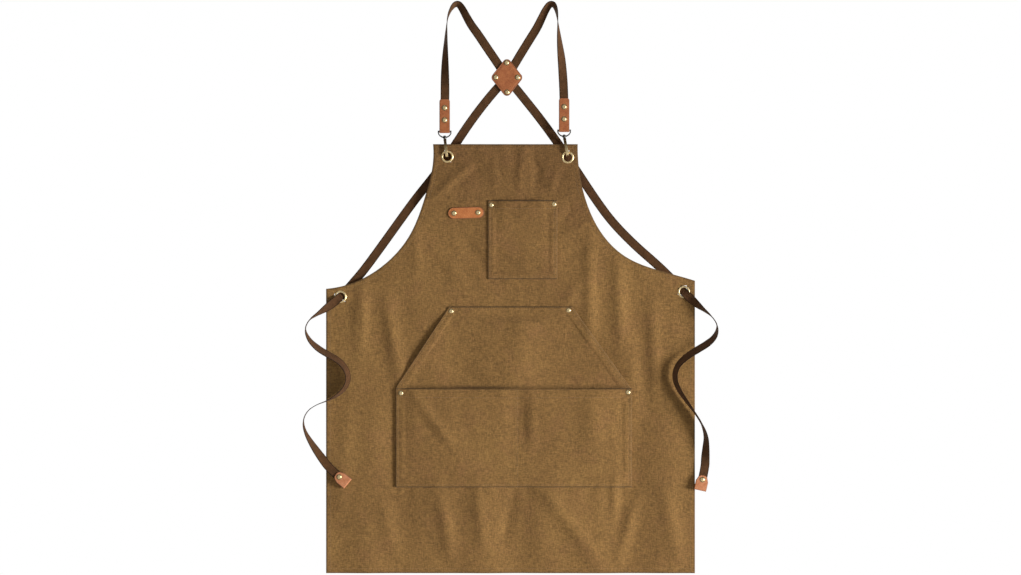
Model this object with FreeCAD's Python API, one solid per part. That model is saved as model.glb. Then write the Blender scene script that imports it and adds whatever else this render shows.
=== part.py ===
"""A canvas cross-back work apron on two swivel snap hooks, each piece a solid of its own.

Millimetres. +X is the right-hand side seen from the front, the front faces -Y and +Z is up.
Pieces are drawn at their height above the bottom hem, and export() moves them so that the
origin lies where a hanger's shoulders carry the two strap loops.
"""

import FreeCAD, Part
import math
import os

V = FreeCAD.Vector

# --- driving dimensions ---
HANG_HEIGHT = 1062.0  # from the bottom hem to the tops of the strap loops
HALF_WIDTH = 343.0
BIB_TOP = 798.0
BIB_LEFT, BIB_RIGHT = -144.0, 125.0
WAIST_LEFT, WAIST_RIGHT = 529.0, 544.0  # heights of the two waist corners

CANVAS = 0.9  # one layer
CLOTH = 0.7  # the doubled body cloth reaches this far each side of Y = 0
HEM_WIDTH = 11.0
HEM_BACK = 1.4

LEATHER = 1.8
WEBBING_WIDTH, WEBBING = 16.3, 1.4
WEBBING_IN_HOLE = 13.0  # the webbing cups where it goes through a grommet

GROMMET_RADIUS, HOLE_RADIUS, BARREL_RADIUS = 11.5, 8.0, 8.6
GROMMET_FRONT, GROMMET_BACK = -1.7, 1.5
RIVET_CAP, RIVET_BACK_CAP, RIVET_POST = 4.5, 4.2, 1.4
CAP_HEIGHT, BACK_CAP_HEIGHT = 1.4, 1.0

POCKET_GAP = 4.8  # how far an open pocket stands off what it is sewn to
SLOPE = 12.0  # width of the cloth that rises from a seam to a pocket's front

SNAP_Y = 1.0  # the snap hooks, rings and tabs are centred on this plane
RING_WIRE, RING_WIDTH, RING_HEIGHT = 2.5, 25.6, 14.0
TAB_WIDTH, TAB_LENGTH = 19.5, 60.0
SNAP_LENGTH = 35.5  # from the ring's boss to the middle of the hook's bottom bar
SNAP_HALF, SNAP_BAR, SNAP_THICK = 7.2, 2.6, 5.0

GROMMETS = {
    "bib_left": (-117.6, 775.0),
    "bib_right": (106.4, 773.6),
    "waist_left": (-316.4, 514.1),
    "waist_right": (322.5, 523.2),
}
# side: ring bar centre, hook bottom, both as (x, height)
SNAPS = {
    "left": ((-122.5, 822.0), (-118.4, 775.3)),
    "right": ((99.8, 824.0), (106.3, 777.0)),
}
PATCH = (-6.7, 922.6)
PATCH_SIZE = (57.0, 68.0)
PATCH_FRONT = 9.6

parts = {}


def box(x, y, z):
    """A box from three (low, high) pairs."""
    return Part.makeBox(x[1] - x[0], y[1] - y[0], z[1] - z[0], V(x[0], y[0], z[0]))


def rod(radius, x, h, y0, y1):
    """A cylinder along Y through (x, h)."""
    return Part.makeCylinder(radius, y1 - y0, V(x, y0, h), V(0, 1, 0))


def prism(points, y0, y1):
    """A slab of a polygon of (x, height) points, between two depths."""
    wire = Part.makePolygon([V(x, y0, h) for x, h in points + points[:1]])
    return Part.Face(wire).extrude(V(0, y1 - y0, 0))


def cut_all(shape, tools):
    return shape.cut(Part.makeCompound(tools))


# --- the apron's body, its hem and its grommets ---

LEFT_ARMHOLE = [
    (BIB_LEFT, BIB_TOP), (-146, 750), (-157.5, 705), (-189, 626), (-245, 566), (-343, 529),
]
RIGHT_ARMHOLE = [
    (343, 544), (270, 565), (212, 590), (167, 636), (141, 691), (127, 755), (BIB_RIGHT, BIB_TOP),
]


def curve(points):
    spline = Part.BSplineCurve()
    spline.interpolate([V(x, 0, h) for x, h in points])
    return spline.toShape()


def line(a, b):
    return Part.LineSegment(V(a[0], 0, a[1]), V(b[0], 0, b[1])).toShape()


def apron_face():
    low_left, low_right = (-HALF_WIDTH, 0), (HALF_WIDTH, 0)
    edges = [
        line(low_left, low_right),
        line(low_right, RIGHT_ARMHOLE[0]),
        curve(RIGHT_ARMHOLE),
        line(RIGHT_ARMHOLE[-1], LEFT_ARMHOLE[0]),
        curve(LEFT_ARMHOLE),
        line(LEFT_ARMHOLE[-1], low_left),
    ]
    return Part.Face(Part.Wire(edges))


def slab(face, y0, y1):
    moved = face.copy()
    moved.translate(V(0, y0, 0))
    return moved.extrude(V(0, y1 - y0, 0))


def hem_facing(face):
    """The turned-in edge all round, on the back of the cloth."""
    y = (CLOTH, HEM_BACK)
    hem = box((-HALF_WIDTH, HALF_WIDTH), y, (0, HEM_WIDTH))
    hem = hem.fuse(box((BIB_LEFT, BIB_RIGHT), y, (BIB_TOP - HEM_WIDTH, BIB_TOP)))
    hem = hem.fuse(box((-HALF_WIDTH, -HALF_WIDTH + HEM_WIDTH), y, (0, WAIST_LEFT)))
    hem = hem.fuse(box((HALF_WIDTH - HEM_WIDTH, HALF_WIDTH), y, (0, WAIST_RIGHT)))
    for points in (LEFT_ARMHOLE, RIGHT_ARMHOLE):
        spline = Part.BSplineCurve()
        spline.interpolate([V(x, 0, h) for x, h in points])
        inner = []
        for k in range(13):
            at = spline.FirstParameter + k / 12 * (spline.LastParameter - spline.FirstParameter)
            along = spline.tangent(at)[0]
            spot = spline.value(at) + V(-along.z, 0, along.x) * HEM_WIDTH
            inner.append((spot.x, spot.z))
        edges = [curve(points), line(points[-1], inner[-1]), curve(inner), line(inner[0], points[0])]
        band = Part.Face(Part.Wire(Part.__sortEdges__(edges)))
        hem = hem.fuse(slab(band, *y))
    return hem.common(slab(face, *y)).removeSplitter()


def grommet(x, h):
    """The eyelet half: a domed ring in front and a barrel through the cloth."""
    def at(r, y):
        return V(r, y, 0)

    edge = [
        Part.LineSegment(at(HOLE_RADIUS, GROMMET_BACK), at(HOLE_RADIUS, -CLOTH - 0.2)),
        Part.Arc(
            at(HOLE_RADIUS, -CLOTH - 0.2),
            at((HOLE_RADIUS + GROMMET_RADIUS) / 2, GROMMET_FRONT),
            at(GROMMET_RADIUS, -CLOTH - 0.2),
        ),
        Part.LineSegment(at(GROMMET_RADIUS, -CLOTH - 0.2), at(GROMMET_RADIUS, -CLOTH)),
        Part.LineSegment(at(GROMMET_RADIUS, -CLOTH), at(BARREL_RADIUS, -CLOTH)),
        Part.LineSegment(at(BARREL_RADIUS, -CLOTH), at(BARREL_RADIUS, GROMMET_BACK)),
        Part.LineSegment(at(BARREL_RADIUS, GROMMET_BACK), at(HOLE_RADIUS, GROMMET_BACK)),
    ]
    face = Part.Face(Part.Wire([e.toShape() for e in edge]))
    ring = face.revolve(V(0, 0, 0), V(0, 1, 0), 360)
    ring.translate(V(x, 0, h))
    return ring


def washer(x, h):
    """The back half, pressed over the barrel."""
    ring = rod(GROMMET_RADIUS, x, h, CLOTH, GROMMET_BACK)
    return ring.cut(rod(BARREL_RADIUS, x, h, CLOTH, GROMMET_BACK))


# --- rivets ---

def rivet(x, h, y_front, y_back):
    """A double-cap rivet: domed cap, post and a flat back cap, on a stack of layers."""
    dome_radius = (RIVET_CAP ** 2 + CAP_HEIGHT ** 2) / (2 * CAP_HEIGHT)
    dome = Part.makeSphere(dome_radius, V(x, y_front - CAP_HEIGHT + dome_radius, h))
    cap = dome.common(rod(RIVET_CAP, x, h, y_front - CAP_HEIGHT, y_front))
    post = rod(RIVET_POST, x, h, y_front, y_back)
    back = rod(RIVET_BACK_CAP, x, h, y_back, y_back + BACK_CAP_HEIGHT)
    return cap.fuse(post).fuse(back)


def post_hole(x, h):
    return rod(RIVET_POST, x, h, -20, 30)


# name: x, height, front and back faces of the layers it holds
POCKET_FACE = -CLOTH - CANVAS
LOWER_FACE = POCKET_FACE - CANVAS
RIVETS = {
    "chest_pocket_rivet_left": (-35.7, 684.7, POCKET_FACE, CLOTH),
    "chest_pocket_rivet_right": (80.9, 686.3, POCKET_FACE, CLOTH),
    "hand_warmer_rivet_left": (-110.3, 487.3, POCKET_FACE, CLOTH),
    "hand_warmer_rivet_right": (107.9, 489.0, POCKET_FACE, CLOTH),
    "lower_pocket_rivet_left": (-203.5, 335.0, LOWER_FACE, CLOTH),
    "lower_pocket_rivet_right": (218.5, 336.7, LOWER_FACE, CLOTH),
    "name_badge_rivet_left": (-105.0, 669.6, -CLOTH - LEATHER, CLOTH),
    "name_badge_rivet_right": (-60.5, 670.9, -CLOTH - LEATHER, CLOTH),
}
PATCH_BACK = PATCH_FRONT + 2 * LEATHER + 2 * WEBBING + 0.1
PATCH_RIVETS = {
    "cross_patch_rivet_top": (-7.2, 950.0, PATCH_FRONT, PATCH_BACK),
    "cross_patch_rivet_left": (-27.4, 922.8, PATCH_FRONT, PATCH_BACK),
    "cross_patch_rivet_right": (13.4, 922.8, PATCH_FRONT, PATCH_BACK),
    "cross_patch_rivet_bottom": (-6.3, 895.2, PATCH_FRONT, PATCH_BACK),
}


# --- pockets: a cloth front that stands off the body between its seams ---

def plan_prism(points, h0, h1):
    """A polygon of (x, y) points, raised between two heights."""
    wire = Part.makePolygon([V(x, y, h0) for x, y in points + points[:1]])
    return Part.Face(wire).extrude(V(0, 0, h1 - h0))


def side_prism(points, x0, x1):
    """A polygon of (y, height) points, stretched between two sides."""
    wire = Part.makePolygon([V(x0, y, h) for y, h in points + points[:1]])
    return Part.Face(wire).extrude(V(x1 - x0, 0, 0))


def pouch(x0, x1, seam, front, back, h0, h1, top_seam=None):
    """A filled pocket: a flat front, slopes and a seam at each side and at the bottom.

    seam is the width of the flat seam and front and back are depths. The top is open,
    unless top_seam gives a seam there too.
    """
    a, b = x0 + seam, x1 - seam
    plan = [(x0, front[1]), (a, front[1]), (a + SLOPE, front[0])]
    plan += [(b - SLOPE, front[0]), (b, front[1]), (x1, front[1]), (x1, back), (x0, back)]
    low, high = h0 + seam, h1 + 40
    side = [(back, h0), (front[1], h0), (front[1], low), (front[0], low + SLOPE)]
    if top_seam:
        high = h1
        side += [(front[0], h1 - top_seam - SLOPE), (front[1], h1 - top_seam)]
        side += [(front[1], h1), (back, h1)]
    else:
        side += [(front[0], high), (back, high)]
    return plan_prism(plan, h0, high).common(side_prism(side, x0, x1))


def chest_pocket():
    x0, x1, h0, h1 = -42.0, 87.0, 547.0, 693.6
    seam = 11.0
    lift = -CLOTH - POCKET_GAP
    outer = pouch(x0, x1, seam, (lift - CANVAS, POCKET_FACE), -CLOTH, h0, h1)
    inner = pouch(x0, x1, seam, (lift, -CLOTH), -CLOTH + 5, h0, h1)
    whole = outer.cut(inner)
    return whole.common(box((x0, x1), (-30, 0), (h0, h1)))


PANEL_OUTLINE = [(-213.5, 160), (226, 160), (226, 341), (114.6, 496), (-114.4, 496), (-213.5, 346)]
LOWER = dict(x0=-213.5, x1=226.0, h0=160.0, h1=344.0, seam=16.0, divider=11.5)


def hand_warmer_filled():
    lift = -CLOTH - POCKET_GAP
    p = LOWER
    return pouch(
        p["x0"], p["x1"], p["seam"], (lift - CANVAS, POCKET_FACE), -CLOTH, p["h0"], 496, 15
    ).common(prism(PANEL_OUTLINE, -30, 0))


def hand_warmer_panel():
    """The house-shaped panel. Its slanted sides are open for the hands."""
    lift = -CLOTH - POCKET_GAP
    p = LOWER
    inner = pouch(p["x0"], p["x1"], p["seam"], (lift, -CLOTH), 5, p["h0"], 496, 15)
    return hand_warmer_filled().cut(inner)


def lower_pocket():
    """Two pouches side by side on the panel, with a stitched seam between them."""
    p = LOWER
    panel_front = -CLOTH - POCKET_GAP - CANVAS
    lift = panel_front - POCKET_GAP
    face = panel_front - CANVAS
    x0, x1, seam, mid = p["x0"], p["x1"], p["seam"], p["divider"]

    def plan(front, side_face, seam_face, back):
        return [
            (x0, side_face), (x0 + seam, side_face), (x0 + seam + SLOPE, front),
            (mid - 3 - SLOPE, front), (mid - 3, seam_face), (mid + 3, seam_face),
            (mid + 3 + SLOPE, front), (x1 - seam - SLOPE, front), (x1 - seam, side_face),
            (x1, side_face), (x1, back), (x0, back),
        ]

    def side(front, low_face, back):
        h0, h1 = p["h0"], p["h1"] + 20
        return [
            (back, h0), (low_face, h0), (low_face, h0 + seam),
            (front, h0 + seam + SLOPE), (front, h1), (back, h1),
        ]

    top = p["h1"] + 20
    outer = plan_prism(plan(lift - CANVAS, LOWER_FACE, face, -CLOTH), p["h0"], top)
    outer = outer.common(side_prism(side(lift - CANVAS, LOWER_FACE, -CLOTH), x0, x1))
    inner = plan_prism(plan(lift, POCKET_FACE, panel_front, 5), p["h0"], top)
    inner = inner.common(side_prism(side(lift, POCKET_FACE, 5), x0, x1))
    whole = outer.cut(inner).cut(hand_warmer_filled())
    return whole.common(box((x0, x1), (-30, 0), (p["h0"], p["h1"])))


def name_badge():
    """A stadium of leather, a little higher at its right-hand end."""
    cx, ch, half, r = -82.7, 670.2, 33.5, 10.5
    y0, y1 = -CLOTH - LEATHER, -CLOTH
    body = box((cx - half + r, cx + half - r), (y0, y1), (ch - r, ch + r))
    for end in (cx - half + r, cx + half - r):
        body = body.fuse(rod(r, end, ch, y0, y1))
    body.rotate(V(cx, 0, ch), V(0, 1, 0), -1.7)
    return body.removeSplitter()


# --- webbing: a flat ribbon along straight runs and the tangent arcs that join them ---

def route_stations(points):
    """Samples a route of (x, y, height, twist, width): runs joined by tangent arcs."""
    stations, radii = [], []
    here = [V(*p[:3]) for p in points]
    stations.append((here[0], (here[1] - here[0]).normalize(), points[0][3], points[0][4]))
    for i in range(1, len(points) - 1):
        a, b = here[i] - here[i - 1], here[i + 1] - here[i]
        turn = a.getAngle(b)
        reach = 0.45 * min(a.Length, b.Length)
        radii.append(reach / math.tan(turn / 2))
        u, w = V(a).normalize(), V(b).normalize()
        across = (w - u).normalize()
        centre = here[i] - u * reach + (w - u * u.dot(w)).normalize() * radii[-1]
        steps = max(2, math.ceil(math.degrees(turn) / 12))
        for k in range(steps + 1):
            f = k / steps
            angle = turn * (f - 0.5)
            along = (u + w).normalize()
            out = across * -math.cos(angle) + along * math.sin(angle)
            tangent = along * math.cos(angle) + across * math.sin(angle)
            side = f - 0.5
            other = points[i - 1] if side < 0 else points[i + 1]
            run = a.Length if side < 0 else b.Length
            share = abs(side) * 2 * reach / run
            twist = points[i][3] + (other[3] - points[i][3]) * share
            width = points[i][4] + (other[4] - points[i][4]) * share
            stations.append((centre + out * radii[-1], tangent, twist, width))
    stations.append((here[-1], (here[-1] - here[-2]).normalize(), points[-1][3], points[-1][4]))
    return stations, radii


def ribbon(name, points, turn_side):
    """Lofts the webbing along its route. A twist of 0 shows its face to the front."""
    stations, radii = route_stations(points)
    wires = []
    length = 0.0
    for i, (centre, tangent, twist, width) in enumerate(stations):
        outward = V(-tangent.z, 0, tangent.x) * turn_side
        outward = (outward - tangent * outward.dot(tangent)).normalize()
        back = tangent.cross(outward) * -turn_side
        if back.y < 0:
            back = back * -1
        t = math.radians(twist)
        face = outward * math.sin(t) - back * math.cos(t)
        across = tangent.cross(face).normalize() * (width / 2)
        thick = face * (WEBBING / 2)
        corners = [
            centre + across + thick, centre - across + thick,
            centre - across - thick, centre + across - thick,
        ]
        wires.append(Part.makePolygon(corners + corners[:1]))
        if i:
            length += (centre - stations[i - 1][0]).Length
    solid = Part.makeLoft(wires, True, True)
    print(
        f"{name}: length {length:.0f}, tightest radius {min(radii):.0f},"
        f" volume {solid.Volume:.0f} against {length * WEBBING * WEBBING_WIDTH:.0f},"
        f" valid {solid.isValid()}"
    )
    print("   radii", [round(r) for r in radii])
    return solid


W, C = WEBBING_WIDTH, WEBBING_IN_HOLE
LEFT_IN = PATCH_FRONT + LEATHER + WEBBING / 2  # the straps' planes inside the cross patch
RIGHT_IN = LEFT_IN + WEBBING + 0.1
LEFT_STRAP = [
    (-121.8, 1.0, 894.5, 0, W), (-121.9, 1.0, 925, 20, W), (-121.6, 1.3, 957, 44, W),
    (-120.4, 1.9, 990, 68, W), (-118.9, 2.9, 1018, 85, W), (-117.0, 4.0, 1035, 94, W),
    (-111.8, 5.2, 1047.5, 106, W), (-104.0, 6.2, 1056.5, 122, W), (-94.5, 7.2, 1058.5, 134, W),
    (-86.5, 8.2, 1051, 143, W), (-80.0, 9.2, 1039, 151, W), (-71.5, 10.4, 1022, 161, W),
    (-60.5, 11.4, 1003, 174, W), (-44.5, LEFT_IN, 979, 180, W), (-26.4, LEFT_IN, 952.5, 180, W),
    (-6.7, LEFT_IN, 922.6, 180, W), (21.9, LEFT_IN, 887.6, 180, W), (57.6, 12.6, 843, 180, W),
    (89.6, 13.0, 798.5, 180, W), (121.2, 12.4, 752, 180, W), (156.4, 9.0, 698, 180, W),
    (189.0, 7.0, 653, 180, W), (232.7, 5.4, 608.6, 180, W), (271.7, 4.6, 575, 180, W),
    (298.0, 3.8, 549.5, 180, W), (314.6, 3.2, 531.8, 180, 14.6), (319.3, 2.7, 526.7, 180, C),
    (322.5, 0.0, 523.2, 180, C),
]
RIGHT_STRAP = [
    (99.0, 1.0, 897.5, 0, W), (97.4, 1.0, 927, 12, W), (95.0, 1.3, 957, 28, W),
    (91.2, 1.9, 988, 54, W), (88.9, 2.9, 1015, 78, W), (87.8, 4.0, 1032, 94, W),
    (84.4, 5.2, 1046, 109, W), (78.2, 6.2, 1055.4, 124, W), (70.2, 7.2, 1055.8, 136, W),
    (64.4, 8.3, 1047.5, 145, W), (58.2, 9.6, 1033, 155, W), (49.5, 11.2, 1015, 166, W),
    (37.5, 12.6, 996, 176, W), (25.0, RIGHT_IN, 976, 180, W), (10.5, RIGHT_IN, 952, 180, W),
    (-6.7, RIGHT_IN, 922.6, 180, W), (-38.4, RIGHT_IN, 887.6, 180, W),
    (-72.8, 13.4, 843, 180, W), (-102.0, 13.2, 799, 180, W), (-136.0, 12.2, 747, 180, W),
    (-175.6, 8.6, 698, 180, W), (-208.1, 6.6, 653, 180, W), (-239.8, 5.2, 608.6, 180, W),
    (-272.3, 4.4, 564, 180, W), (-295.0, 3.7, 537.5, 180, W), (-308.2, 3.2, 522.4, 180, 14.6),
    (-313.1, 2.7, 517.2, 180, C), (-316.4, 0.0, 514.1, 180, C),
]
LEFT_TIE = [
    (-316.4, 0.0, 514.1, 0, C), (-319.7, -2.7, 511.0, 0, C), (-329.0, -4.2, 503.2, 10, W),
    (-342.1, -8.0, 493.3, 38, W), (-358.0, -11.0, 482.6, 70, W), (-374.5, -12.4, 471.5, 90, W),
    (-382.6, -12.8, 454.5, 90, W), (-374.8, -12.8, 434.5, 66, W), (-358.8, -12.4, 418.9, 48, W),
    (-340.4, -12.0, 407.6, 46, W), (-318.6, -12.2, 395.8, 48, W), (-304.6, -12.8, 379.5, 52, W),
    (-300.6, -12.8, 361.2, 56, W), (-307.6, -12.8, 343.4, 60, W), (-322.5, -12.8, 330.4, 72, W),
    (-341.5, -12.8, 320.4, 86, W), (-360.5, -12.8, 313.8, 90, W), (-377.5, -12.8, 302.5, 90, W),
    (-385.8, -12.8, 284.5, 90, W), (-382.2, -12.4, 264.0, 76, W), (-369.2, -11.0, 241.0, 52, W),
    (-352.5, -8.8, 217.0, 24, W), (-335.0, -6.4, 193.2, 0, W), (-311.8, -6.4, 174.2, 0, W),
]
RIGHT_TIE = [
    (322.5, 0.0, 523.2, 0, C), (325.7, -2.7, 519.7, 0, C), (334.0, -4.2, 511.5, 10, W),
    (344.6, -8.0, 501.8, 38, W), (359.0, -11.0, 490.2, 70, W), (374.2, -12.4, 478.0, 90, W),
    (385.4, -12.8, 461.0, 90, W), (381.4, -12.8, 441.5, 60, W), (367.0, -12.4, 427.5, 42, W),
    (347.4, -12.2, 416.0, 40, W), (326.5, -12.4, 403.0, 46, W), (309.0, -12.8, 386.0, 54, W),
    (304.0, -12.8, 364.5, 58, W), (311.5, -12.8, 342.5, 62, W), (326.0, -12.8, 321.5, 70, W),
    (342.0, -12.8, 299.5, 82, W), (355.8, -12.6, 278.0, 84, W), (363.8, -12.0, 255.0, 64, W),
    (363.2, -10.8, 234.5, 42, W), (361.7, -8.8, 215.0, 18, W), (360.1, -6.4, 195.5, 0, W),
    (357.6, -6.4, 162.5, 0, W),
]
TIE_TIP_LENGTH, TIE_TIP_WIDTH = 29.0, 23.0
TIE_IN_TIP = {"left": 16.5, "right": 19.5}  # of webbing inside the leather
TIP_RIVET = 8.2  # from the tip's round end


def tie_tip(route, inside):
    """Leather folded over the end of a tie: rounded where it meets the webbing."""
    before, end = V(*route[-2][:3]), V(*route[-1][:3])
    along = (end - before).normalize()
    half_w, half_t = TIE_TIP_WIDTH / 2, LEATHER + WEBBING / 2
    body = box((-half_w, half_w), (-half_t, half_t), (-TIE_TIP_LENGTH, -half_w))
    body = body.fuse(rod(half_w, 0, -half_w, -half_t, half_t))
    slot = box((-W / 2, W / 2), (-WEBBING / 2, WEBBING / 2), (-inside, 1))
    body = body.cut(slot)
    place = FreeCAD.Rotation(V(0, 0, -1), along)
    body.Placement = FreeCAD.Placement(end - along * inside, place)
    hole_at = end - along * (inside - TIP_RIVET)
    post = Part.makeCylinder(RIVET_POST, 40, hole_at - V(0, 20, 0), V(0, 1, 0))
    return body.cut(post), hole_at, half_t


# --- leather tabs and swivel snap hooks ---

def leather_tab(side):
    """One strip of leather folded round the ring's bar, its two layers holding the webbing."""
    (x, bar_h), _ = SNAPS[side]
    half = WEBBING / 2 + LEATHER
    top = bar_h + TAB_LENGTH
    x0 = x - TAB_WIDTH / 2

    def eye(radius, half_gap, height):
        loop = Part.makeCylinder(radius, TAB_WIDTH, V(x0, SNAP_Y, bar_h), V(1, 0, 0))
        gap = box(
            (x0, x0 + TAB_WIDTH), (SNAP_Y - half_gap, SNAP_Y + half_gap), (bar_h, height)
        )
        return loop.fuse(gap)

    outer = eye(RING_WIRE / 2 + 0.3 + LEATHER, half, top)
    inner = eye(RING_WIRE / 2 + 0.3, WEBBING / 2, top + 1)
    return outer.cut(inner)


def strap_end(side):
    """The end of the shoulder strap, riveted between the tab's two layers."""
    (x, bar_h), _ = SNAPS[side]
    first = (LEFT_STRAP if side == "left" else RIGHT_STRAP)[0]
    low, high = bar_h + 10, first[2] - 1.2
    y = (SNAP_Y - WEBBING / 2, SNAP_Y + WEBBING / 2)
    return box((x - W / 2, x + W / 2), y, (low, high))


def d_outline(half, height, drop, y):
    """A D with its flat side up: centre of the top edge at (0, 0)."""
    a, b = V(-half, y, 0), V(half, y, 0)
    c, d = V(half, y, -drop), V(-half, y, -drop)
    edges = [
        Part.LineSegment(a, b).toShape(),
        Part.LineSegment(b, c).toShape(),
        Part.Arc(c, V(0, y, -height), d).toShape(),
        Part.LineSegment(d, a).toShape(),
    ]
    return Part.Face(Part.Wire(edges))


def snap_axis(side):
    """The ring's boss and the direction from it to the hook's bottom bar."""
    (x, bar_h), (gx, gh) = SNAPS[side]
    boss = V(x, SNAP_Y, bar_h + RING_WIRE / 2 - RING_HEIGHT + RING_WIRE / 2)
    return boss, (V(gx, SNAP_Y, gh) - boss).normalize()


def swivel_ring(side):
    """The D-shaped loop with a drilled boss in the middle of its curve."""
    (x, bar_h), _ = SNAPS[side]
    t = RING_WIRE
    outer = d_outline(RING_WIDTH / 2, RING_HEIGHT, 5.0, -t / 2).extrude(V(0, t, 0))
    inner = d_outline(RING_WIDTH / 2 - t, RING_HEIGHT - 2 * t, 3.4, -t / 2).extrude(V(0, t, 0))
    inner.translate(V(0, 0, -t))
    ring = outer.cut(inner)
    outside = [
        e for e in ring.Edges
        if abs(abs(e.BoundBox.YMin) - t / 2) < 1e-6 and e.BoundBox.YLength < 1e-6
    ]
    ring = ring.makeFillet(0.9, outside)
    ring.translate(V(x, SNAP_Y, bar_h + t / 2))
    boss, down = snap_axis(side)
    ring = ring.fuse(Part.makeCylinder(3.2, 4.0, boss - down * 2.0, down))
    return ring.cut(Part.makeCylinder(1.75, 12, boss - down * 6, down))


def snap_place(side):
    """Turns the hook's own frame, with -Z along the hook, onto its place."""
    boss, down = snap_axis(side)
    return FreeCAD.Placement(boss, FreeCAD.Rotation(V(0, 0, -1), down))


def stadium(half_y, top, bottom, half_x):
    """A slab with rounded ends, standing in the plane of the hook."""
    body = box((-half_x, half_x), (-half_y, half_y), (bottom + half_y, top - half_y))
    for z in (top - half_y, bottom + half_y):
        body = body.fuse(Part.makeCylinder(half_y, 2 * half_x, V(-half_x, 0, z), V(1, 0, 0)))
    return body.removeSplitter()


BOTTOM = -(SNAP_LENGTH + SNAP_BAR / 2)
TOP = -4.6
PIN_Z, PIN_Y = -15.4, SNAP_HALF - SNAP_BAR / 2
MOUTH = (-25.6, -17.4)
FORK = 1.65


def snap_hook():
    half_x = SNAP_THICK / 2
    outer = stadium(SNAP_HALF, TOP, BOTTOM, half_x)
    inner = stadium(SNAP_HALF - SNAP_BAR, TOP - SNAP_BAR, BOTTOM + SNAP_BAR, half_x + 1)
    body = outer.cut(inner)
    inside = SNAP_HALF - SNAP_BAR - 0.5
    body = body.cut(box((-9, 9), (inside, SNAP_HALF + 1), MOUTH))
    body = body.cut(box((-FORK, FORK), (inside, SNAP_HALF + 1), (MOUTH[1] - 1, PIN_Z + 2.6)))
    collar = Part.makeCone(3.1, 2.5, 3.4, V(0, 0, -5.9), V(0, 0, 1))
    body = body.fuse(collar)
    body = body.cut(Part.makeCylinder(0.7, 20, V(-10, PIN_Y, PIN_Z), V(1, 0, 0)))
    return body.cut(Part.makeCylinder(1.5, 3.0, V(0, 0, -5.5), V(0, 0, 1)))


def swivel_post():
    """Held in the hook's collar, it turns in the ring's boss under its own head."""
    stem = Part.makeCylinder(1.5, 8.0, V(0, 0, -5.5), V(0, 0, 1))
    return stem.fuse(Part.makeCone(2.7, 2.0, 1.2, V(0, 0, 2.3), V(0, 0, 1)))


def gate():
    """The spring lever that closes the hook's mouth, on a pin at its upper end."""
    low = MOUTH[0] + 0.3
    inside = SNAP_HALF - SNAP_BAR + 0.1
    lever = box((-1.5, 1.5), (inside, SNAP_HALF - 0.3), (low, PIN_Z - 1.0))
    knuckle = Part.makeCylinder(1.3, 1.6, V(-0.8, PIN_Y, PIN_Z), V(1, 0, 0))
    neck = box((-0.8, 0.8), (inside, SNAP_HALF - 0.3), (PIN_Z - 1.6, PIN_Z))
    lever = lever.cut(Part.makeCylinder(1.5, 4, V(0.8, PIN_Y, PIN_Z), V(1, 0, 0)))
    lever = lever.cut(Part.makeCylinder(1.5, 4, V(-4.8, PIN_Y, PIN_Z), V(1, 0, 0)))
    body = lever.fuse(neck).fuse(knuckle)
    return body.cut(Part.makeCylinder(0.75, 6, V(-3, PIN_Y, PIN_Z), V(1, 0, 0)))


def gate_pin():
    return Part.makeCylinder(0.7, SNAP_THICK, V(-SNAP_THICK / 2, PIN_Y, PIN_Z), V(1, 0, 0))


def gate_spring():
    """The coil beside the knuckle."""
    coil = Part.makeCylinder(1.25, 0.7, V(0.9, PIN_Y, PIN_Z), V(1, 0, 0))
    return coil.cut(Part.makeCylinder(0.75, 2, V(0.5, PIN_Y, PIN_Z), V(1, 0, 0)))


# --- the leather patch where the straps cross ---

def patch_layer(y0):
    """A diamond with round corners, drilled for its four rivets."""
    cx, ch = PATCH
    corner = 8.0
    a, b = PATCH_SIZE[0] / 2 - corner, PATCH_SIZE[1] / 2 - corner
    tips = [(cx - a, ch), (cx, ch - b), (cx + a, ch), (cx, ch + b)]
    layer = prism(tips, y0, y0 + LEATHER)
    for i, (x, h) in enumerate(tips):
        layer = layer.fuse(rod(corner, x, h, y0, y0 + LEATHER))
        nx, nh = tips[(i + 1) % 4]
        out = V(nh - h, 0, x - nx).normalize() * corner
        side = [(x, h), (nx, nh), (nx + out.x, nh + out.z), (x + out.x, h + out.z)]
        layer = layer.fuse(prism(side, y0, y0 + LEATHER))
    holes = [post_hole(x, h) for x, h, _, _ in PATCH_RIVETS.values()]
    return cut_all(layer.removeSplitter(), holes)


# --- assembly ---

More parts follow.
